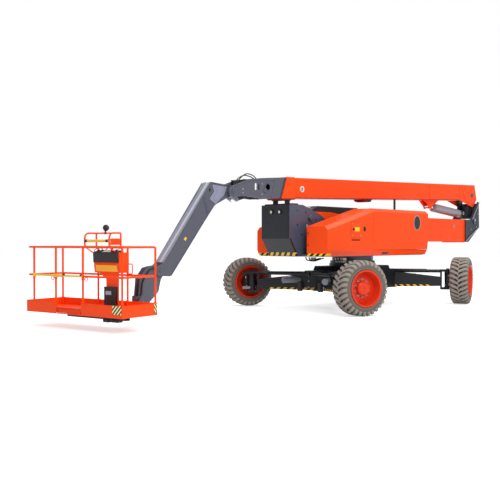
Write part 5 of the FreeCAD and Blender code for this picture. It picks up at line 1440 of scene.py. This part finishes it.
# ---------------------------------------------------------------- boom
class LIFT_OT_boom_fittings(PieceGroup, bpy.types.Operator):
    """Front collar, ribs, guide bracket and fittings of the boom's base section"""

    bl_idname = "lift.boom_fittings"
    bl_label = "Boom fittings"

    BODY, TURN = "boom", staticmethod(on_boom)
    STEPS = ("collar", "ribs", "fittings", "cheeks", "guide")

    HALF = 0.215
    TOP, LOW = 0.300, -0.150
    FRONT_TOP, FRONT_LOW = 8.290, 8.480
    COLLAR = 0.24
    RIBS = (0.16, 0.52, 0.80)
    FITTING = (7.80, 0.055)
    GUIDE = (5.02, 5.40)

    def collar(self):
        """Band round the open end: its front follows the slanted cut, its back is square."""
        back, proud, h = self.FRONT_TOP - self.COLLAR, 0.012, self.HALF
        side_outline = [(back, self.LOW - proud), (self.FRONT_LOW + 0.006, self.LOW - proud),
                        (self.FRONT_TOP - 0.006, self.TOP + proud), (back, self.TOP + proud)]
        sides = both_sides(side_outline, h - 0.001, h + proud)
        lid = slab([(back, self.TOP - 0.001), (self.FRONT_TOP, self.TOP - 0.001),
                    (self.FRONT_TOP - 0.006, self.TOP + proud), (back, self.TOP + proud)],
                   "y", -h, h)
        self.put("boom_collar", sides + [lid], "body_paint", bevel=0.004)
        sole = slab([(back, self.LOW - 0.030), (self.FRONT_LOW - 0.05, self.LOW - 0.030),
                     (self.FRONT_LOW, self.LOW), (back, self.LOW)], "y", -h - proud, h + proud)
        # the sole under the collar is painted shade: a darker orange
        self.put("boom_collar_sole", [sole], "orange_in_shade", bevel=0.003)

    def ribs(self):
        """Pressed ribs along each side, and the flange along its lower edge."""
        h = self.HALF
        ribs = [block((4.40, side * h, self.TOP - share * (self.TOP - self.LOW)),
                      (7.25, 0.006, 0.018)) for share in self.RIBS for side in (1, -1)]
        self.put("boom_ribs", ribs, "body_paint", bevel=0.0028)
        flange = [block((4.4, side * (h + 0.002), self.LOW + 0.010), (7.3, 0.008, 0.020))
                  for side in (1, -1)]
        # flange along the lower edge in painted shade
        self.put("boom_flange", flange, "orange_in_shade", bevel=0.002)

    def fittings(self):
        """Round ports and pad bolts at the boom's front end."""
        x, z = self.FITTING
        h = self.HALF
        rings, middles = [], []
        for side in (1, -1):
            rings.append(spun((x, side * (h + 0.002), z), (0, side, 0), [
                (0.066, 0), (0.066, 0.010), (0.050, 0.014), (0.046, 0.006)], 32))
            middles.append(spun((x, side * (h + 0.004), z), (0, side, 0),
                                [(0.046, 0), (0.040, 0.006)], 24))
        self.put("boom_ports", rings, "pale_plate")
        self.put("boom_port_caps", middles, "bare_steel")
        pads = [shape for x in (self.FRONT_TOP - 0.33, self.FRONT_TOP - 0.62)
                for z in (self.TOP - 0.07, self.LOW + 0.07) for side in (1, -1)
                for shape in hex_bolt((x, side * (h + 0.001), z), (0, side, 0), 0.016, 0.012)]
        self.put("boom_pad_bolts", pads, "body_paint")

    def cheeks(self):
        """Doubling plates and slanted stiffeners on the cheeks round the pivot."""
        h = self.HALF + 0.006
        plate = [(-0.12, 0.26), (0.63, 0.26), (0.40, self.LOW - 0.02), (0.02, -0.28), (-0.20, -0.12)]
        plates = both_sides(plate, h - 0.001, h + 0.008)
        self.put("boom_cheek_plates", plates, "body_paint", bevel=0.004)
        strips = []
        for s in (1, -1):
            for x0, x1 in ((2.82, 2.36), (2.36, 2.36), (0.69, 0.27)):
                strips.append(slab([(x0, self.LOW + 0.03), (x0 + 0.035, self.LOW + 0.03),
                                    (x1 + 0.035, self.TOP - 0.03), (x1, self.TOP - 0.03)],
                                   "y", s * (self.HALF - 0.001), s * (self.HALF + 0.010)))
        self.put("boom_stiffeners", strips, "body_paint", bevel=0.002)

    def guide(self):
        """Hose guide under the boom, with its black strap."""
        x0, x1 = self.GUIDE
        z = self.LOW
        plate = slab([(x0, z + 0.001), (x1, z + 0.001), (x1 - 0.09, z - 0.055), (x0 + 0.09, z - 0.055)],
                     "y", -0.16, 0.16)
        # guide under the boom in painted shade
        self.put("boom_guide", [plate], "orange_in_shade", bevel=0.006)
        strap = slab([(x0 + 0.06, z - 0.030), (x1 - 0.14, z - 0.030), (x1 - 0.17, z - 0.064),
                      (x0 + 0.10, z - 0.064)], "y", -0.166, 0.166)
        self.put("boom_guide_strap", [strap], "black_plastic", bevel=0.004)


# ---------------------------------------------------------------- jib
class LIFT_OT_jib_fittings(PieceGroup, bpy.types.Operator):
    """Doubling plates, flanges, hoses and covers of the nose, the jib and its tip"""

    bl_idname = "lift.jib_fittings"
    bl_label = "Jib fittings"

    STEPS = ("nose", "hoses", "arm", "tip")

    NOSE = 0.215
    JIB = 0.120
    PIVOT = (4.30, 2.54)
    TIP = (6.085, 1.00)
    ROTATOR = 6.50

    def nose(self):
        """Doubling plates, rims round the openings, bosses, studs and slots of the nose."""
        h = self.NOSE
        band = [(2.975, 2.862), (3.050, 2.862), (3.175, 2.440), (3.100, 2.440)]
        top = [(3.05, 2.862), (3.50, 2.852), (3.90, 2.787), (4.33, 2.645), (4.32, 2.615),
               (3.90, 2.757), (3.50, 2.822), (3.06, 2.832)]
        self.put("nose_plates", both_sides(band, h - 0.001, h + 0.008)
                 + both_sides(top, h - 0.001, h + 0.006), "boom_grey", "boom_inner", bevel=0.003)
        rims = []
        for side in (1, -1):
            rims.append(spun((3.28, side * (h + 0.001), 2.68), (0, side, 0), [
                (0.086, 0), (0.086, 0.008), (0.067, 0.008), (0.067, 0)], 28))
        self.put("nose_rims", rims, "boom_grey", "boom_inner")
        bosses, studs = [], []
        for side in (1, -1):
            bosses.append(spun((self.PIVOT[0], side * h, self.PIVOT[1]), (0, side, 0),
                               [(0.100, 0), (0.100, 0.006), (0.094, 0.010)], 32))
            bosses.append(spun((3.35, side * h, 2.60), (0, side, 0),
                               [(0.052, 0), (0.052, 0.012), (0.046, 0.016)], 24))
            studs += bolts([(x, side * (h + 0.001), z) for x, z in (
                (3.45, 2.52), (3.45, 2.74), (4.02, 2.60), (4.02, 2.52))], (0, side, 0), 0.012, 0.010)
        self.put("nose_bosses", bosses, "boom_grey", "boom_inner")
        self.put("nose_studs", studs, "bare_steel", "boom_inner")
        slots = both_sides(rounded(3.625, 3.672, 2.60, 2.74, 0.018), h + 0.0005, h + 0.003)
        self.put("nose_slots", slots, "pale_plate", "boom_inner")

    def hoses(self):
        """Hose loop over the nose: from the boom's end, round a guide and into the nose."""
        loops = []
        for y, rise in ((0.15, 0.0), (0.09, -0.03)):
            loops.append(tube([(4.16, y, 2.70), (4.02, y, 2.84), (3.86, y, 2.935 + rise),
                               (3.66, y, 2.91 + rise), (3.54, y, 2.83), (3.60, y, 2.72)],
                              0.011, 0.08, 10, 5))
        self.put("nose_hoses", loops, "hose_rubber", "boom_inner")
        guide = [bar((3.92, -0.185, 2.775), (3.92, 0.185, 2.775), 0.034, 20, 0.004)]
        guide += [block((3.92, s * 0.178, 2.76), (0.09, 0.012, 0.10)) for s in (1, -1)]
        self.put("nose_hose_guide", guide, "dark_iron", "boom_inner")

    def arm(self):
        """Edge flanges, folded cheeks, bands, end holes and blank labels of the jib."""
        h = self.JIB
        upper = [(4.815, 2.690), (4.835, 2.698), (5.985, 1.170), (5.972, 1.158)]
        lower = [(4.745, 2.232), (4.760, 2.222), (5.840, 0.905), (5.826, 0.895)]
        brow = [(4.28, 2.648), (4.28, 2.662), (4.795, 2.704), (4.795, 2.690)]
        cheek = [(4.785, 2.655), (4.38, 2.630), (4.47, 2.455), (4.700, 2.275), (4.855, 2.375),
                 (4.735, 2.52)]
        fold = [(4.45, 2.600), (4.70, 2.615), (4.665, 2.520), (4.765, 2.400), (4.700, 2.330),
                (4.52, 2.470)]
        band = [(4.99, 2.47), (5.030, 2.418), (4.905, 2.03), (4.868, 2.075)]
        label = [(5.435, 1.600), (5.478, 1.630), (5.515, 1.580), (5.472, 1.550)]
        for name, outlines, near, far, material, bevel in (
                ("jib_flanges", (upper, lower, brow), -0.001, 0.010, "boom_grey", 0.003),
                ("jib_cheeks", (cheek,), -0.001, 0.010, "panel_grey", 0.005),
                ("jib_folds", (fold,), 0.009, 0.015, "panel_grey", 0.004),
                # end holes: painted shade, near-black ovals on the sides
                ("jib_end_holes", (oval(4.845, 2.545, 0.020, 0.034, 20),), 0.0005, 0.002,
                 "dark_seams_and_hole_shade", 0.0),
                ("jib_bands", (band,), -0.001, 0.007, "tower_paint", 0.002),
                ("jib_labels", (label,), 0.0005, 0.002, "label_yellow", 0.0)):
            shapes = [shape for outline in outlines
                      for shape in both_sides(outline, h + near, h + far)]
            self.put(name, shapes, material, "jib", bevel)

    def tip(self):
        """Plates at the jib's tip, the bracket's hoses and the rotator's rings and nuts."""
        h = self.JIB
        plate = [(5.955, 1.20), (6.030, 1.130), (6.165, 1.035), (6.165, 0.975), (6.100, 0.912),
                 (6.02, 0.918), (5.955, 1.00)]
        self.put("tip_plates", both_sides(plate, h + 0.006, h + 0.014), "boom_grey", "jib", bevel=0.003)
        hole = [spun((self.TIP[0], s * (h + 0.0145), self.TIP[1] + 0.015), (0, s, 0),
                     [(0.030, 0), (0.030, 0.002)], 20) for s in (1, -1)]
        # holes: painted shade
        self.put("tip_holes", hole, "dark_seams_and_hole_shade", "jib")
        links = []
        for y in (0.083, 0.100):
            links.append(tube([(6.20, y, 1.065), (6.33, y, 1.01), (6.48, y, 0.80), (6.49, y, 0.58),
                               (6.60, y, 0.46)], 0.010, 0.07, 8, 5))
        self.put("support_hoses", links, "hose_rubber", "support")
        rings = [spun((self.ROTATOR, 0, z), (0, 0, 1), [(r, 0), (r, 0.03)], 36)
                 for z, r in ((0.37, 0.104), (0.46, 0.100))]
        nuts = bolts([(self.ROTATOR + 0.086 * math.cos(a), 0.086 * math.sin(a), 0.49)
                      for a in np.arange(8) * math.pi / 4 + 0.2], (0, 0, 1), 0.010, 0.008)
        self.put("rotator_rings", rings, "dark_iron", "support", bevel=0.004)
        self.put("rotator_nuts", nuts, "bare_steel", "support")


# ---------------------------------------------------------------- cylinders
RISER_FOOT, RISER_SLOPE = (1.50, 1.360), (0.04705, 0.9989)  # foot (x, z) and (rise, run)
BOOM_FOOT, BOOM_SLOPE = (-5.54, 2.330), (0.0927, 0.9957)


class LIFT_OT_cylinder_fittings(PieceGroup, bpy.types.Operator):
    """Bands, ports and feed pipes of the riser's and the boom's cylinders"""

    bl_idname = "lift.cylinder_fittings"
    bl_label = "Cylinder fittings"

    CYLINDERS = (
        ("riser", "riser_barrel", RISER_FOOT, RISER_SLOPE, -1, 0.080, 1.240),
        ("boom", "lift_barrel", BOOM_FOOT, BOOM_SLOPE, 1, 0.078, 1.620),
    )

    def execute(self, context):
        for name, body, (x, z), (rise, run), way, radius, reach in self.CYLINDERS:
            d = np.array([way * run, 0, rise])
            start = np.array([x, 0, z])
            side = np.array([-d[2], 0, d[0]]) * way
            gland = spun(start + d * (reach - 0.12), d, [
                (radius + 0.002, 0), (radius + 0.014, 0.008), (radius + 0.014, 0.080),
                (radius + 0.002, 0.090)], 32)
            foot = spun(start + d * 0.22, d, [
                (radius + 0.001, 0), (radius + 0.010, 0.006), (radius + 0.010, 0.030),
                (radius + 0.001, 0.036)], 32)
            self.put(name + "_cylinder_bands", [gland, foot], "cylinder_paint", body)
            a = start + d * 0.30 + side * (radius + 0.004)
            b = start + d * (reach - 0.20) + side * (radius + 0.004)
            lift = side * 0.022
            pipe = tube([a, a + lift, b + lift, b], 0.009, 0.015, 10, 4)
            self.put(name + "_cylinder_pipe", [pipe], "bare_steel", body)
            ports = [bar(p - side * 0.012, p + side * 0.012, 0.020, 6, 0.003) for p in (a, b)]
            self.put(name + "_cylinder_ports", ports, "dark_iron", body)
        return {"FINISHED"}


# ---------------------------------------------------------------- knuckle and chassis
class LIFT_OT_knuckle_fittings(PieceGroup, bpy.types.Operator):
    """Edge strips and pin rings of the knuckle, and the dark clevis of the boom's cylinder"""

    bl_idname = "lift.knuckle_fittings"
    bl_label = "Knuckle fittings"

    HALF = 0.320
    PIN = (-5.620, 2.185)

    def execute(self, context):
        h = self.HALF
        front = [(-5.950, 2.735), (-5.915, 2.715), (-5.468, 2.190), (-5.508, 2.190)]
        foot = [(-5.915, 1.965), (-5.885, 1.990), (-5.110, 1.575), (-5.125, 1.545)]
        strips = [shape for o in (front, foot) for shape in both_sides(o, h - 0.001, h + 0.007)]
        self.put("knuckle_edge_strips", strips, "cylinder_paint", "knuckle", bevel=0.002)
        rings, holes = [], []
        for s in (1, -1):
            rings.append(spun((self.PIN[0], s * h, self.PIN[1]), (0, s, 0), [
                (0.050, 0), (0.050, 0.012), (0.034, 0.016), (0.030, 0.008)], 28))
            holes.append(spun((self.PIN[0], s * (h + 0.009), self.PIN[1]), (0, s, 0),
                              [(0.030, 0), (0.030, 0.001)], 20))
            rings += bolts([(x, s * (h + 0.001), z) for x, z in (
                (-5.80, 2.36), (-5.40, 1.90), (-5.72, 1.98))], (0, s, 0), 0.016, 0.012)
        self.put("knuckle_pin_rings", rings, "bare_steel", "knuckle")
        # pin holes: painted shade
        self.put("knuckle_pin_holes", holes, "dark_seams_and_hole_shade", "knuckle")
        d = np.array([BOOM_SLOPE[1], 0, BOOM_SLOPE[0]])
        start = np.array([BOOM_FOOT[0], 0, BOOM_FOOT[1]])
        sleeve = spun(start + d * 0.14, d, [
            (0.112, 0), (0.126, 0.012), (0.126, 0.190), (0.119, 0.205)], 32)
        self.put("boom_cylinder_clevis", [sleeve], "dark_iron", "lift_barrel")
        heads = [spun(start + d * 0.24 + (0, s * 0.112, 0.02), (0, s, 0), [
            (0.052, 0), (0.052, 0.022), (0.040, 0.028)], 24) for s in (1, -1)]
        self.put("boom_cylinder_heads", heads, "bare_steel", "lift_barrel")
        return {"FINISHED"}


class LIFT_OT_chassis_fittings(PieceGroup, bpy.types.Operator):
    """Swing cylinders, hoses and valves of the chassis, the wheel hubs and the deck"""

    bl_idname = "lift.chassis_fittings"
    bl_label = "Chassis fittings"

    STEPS = ("ends", "hubs", "deck")

    def ends(self):
        """Swing cylinders, upright stubs and bolts at both ends of the frame."""
        tubes, stubs, heads = [], [], []
        for sx in (1, -1):
            for sy in (1, -1):
                tubes.append(bar((sx * 1.38, sy * 0.42, 0.655), (sx * 1.86, sy * 0.62, 0.655),
                                 0.075, 28, 0.006))
                stubs.append(bar((sx * 1.62, sy * 0.30, 0.40), (sx * 1.62, sy * 0.30, 0.62),
                                 0.062, 24, 0.006))
                heads += bolts([(sx * 1.401, sy * 0.22, z) for z in (0.48, 0.62, 0.76)],
                               (sx, 0, 0), 0.016, 0.012)
        self.put("swing_cylinders", tubes, "cylinder_paint", "chassis")
        self.put("frame_end_stubs", stubs, "black_plastic", "chassis")
        self.put("frame_end_bolts", heads, "bare_steel", "chassis")

    def hubs(self):
        """Drive motor, brass unions and hoses on the inside of each wheel, turning with it."""
        for corner in CORNERS:
            centre, basis = wheel_basis(corner)
            pin = joint_at("steer_" + corner)
            inward, up = -basis[:, 1], np.array([0, 0, 1.0])
            ahead = basis[:, 0]
            root = np.array([pin[0], pin[1], centre[2]])
            inside = root - inward * 0.05
            motor = [bar(inside + ahead * s * 0.115 + up * 0.02,
                         inside + ahead * s * 0.160 + up * 0.02, 0.052, 20, 0.006) for s in (1, -1)]
            unions, hoses = [], []
            for a, z in ((0.15, 0.10), (-0.14, 0.11), (0.10, -0.10), (-0.12, -0.09)):
                p = inside + ahead * a + up * z
                way, bend = (1, 0.07) if z > 0 else (-1, -0.06)
                unions.append(spun(p, up * way, [(0.016, -0.02), (0.016, 0.03), (0.010, 0.034)], 6))
                q = inside + ahead * a * 0.5 + up * (z * 1.25 + 0.02) - inward * 0.05
                hoses.append(tube([p + up * 0.03 * way, p + up * bend,
                                   q, q - inward * 0.05 - up * 0.05], 0.011, 0.035, 8, 4))
            line = root + inward * 0.02 - up * 0.125
            jack = [bar(line + ahead * 0.07, line - ahead * 0.24, 0.034, 20, 0.004)]
            for name, shapes, material in (
                    ("motors", motor, "dark_iron"), ("unions", unions, "brass"),
                    ("hoses", hoses, "hose_rubber"), ("jacks", jack, "cylinder_paint")):
                make("hub_%s_%s" % (name, corner), shapes, MATERIALS[material], "steer_" + corner)

    def deck(self):
        """Hoses and pale valves between the deck and the slewing ring, turning with the deck."""
        valves = [block((0.98, y, 1.115), (0.11, 0.09, 0.10)) for y in (0.46, 0.30, -0.42)]
        hoses = []
        for k, y in enumerate((0.52, 0.44, 0.36, -0.36, -0.46)):
            hoses.append(tube([(1.22, y, 1.17), (1.18, y, 1.10), (0.92 + 0.02 * k, y, 1.085),
                               (0.72, y * 0.9, 1.14)], 0.014, 0.05, 8, 4))
        self.put("deck_valves", valves, "pale_plate", bevel=0.006)
        self.put("deck_hoses", hoses, "hose_rubber")


# ---------------------------------------------------------------- panel
PIECES = (
    LIFT_OT_finishes,
    LIFT_OT_tyres,
    LIFT_OT_wheel_fittings,
    LIFT_OT_pivots,
    LIFT_OT_platform_rails,
    LIFT_OT_platform_fittings,
    LIFT_OT_cover_fittings,
    LIFT_OT_tower_fittings,
    LIFT_OT_boom_fittings,
    LIFT_OT_jib_fittings,
    LIFT_OT_cylinder_fittings,
    LIFT_OT_knuckle_fittings,
    LIFT_OT_chassis_fittings,
)


class LIFT_PT_panel(bpy.types.Panel):
    """Lists the settings and the pieces of the lift"""

    bl_label = "Boom Lift"
    bl_idname = "LIFT_PT_panel"
    bl_space_type = "VIEW_3D"
    bl_region_type = "UI"
    bl_category = "Boom Lift"

    def draw(self, context):
        layout = self.layout
        for settings in (context.scene.lift_colours, context.scene.lift_sizes):
            for key in settings.__annotations__:
                layout.prop(settings, key)
        for piece in PIECES + (LIFT_OT_stage,):
            layout.operator(piece.bl_idname)


CLASSES = (LiftColours, LiftSizes) + PIECES + (LIFT_OT_stage, LIFT_PT_panel)


def register():
    for cls in CLASSES:
        bpy.utils.register_class(cls)
    bpy.types.Scene.lift_colours = bpy.props.PointerProperty(type=LiftColours)
    bpy.types.Scene.lift_sizes = bpy.props.PointerProperty(type=LiftSizes)


def unregister():
    del bpy.types.Scene.lift_sizes
    del bpy.types.Scene.lift_colours
    for cls in reversed(CLASSES):
        bpy.utils.unregister_class(cls)


def main():
    """Builds every piece in order."""
    register()
    for piece in PIECES + (LIFT_OT_stage,):
        call = getattr(bpy.ops.lift, piece.bl_idname.split(".")[1])
        if call() != {"FINISHED"}:
            raise RuntimeError(piece.bl_label + " wasn't finished")


if __name__ == "__main__":
    main()
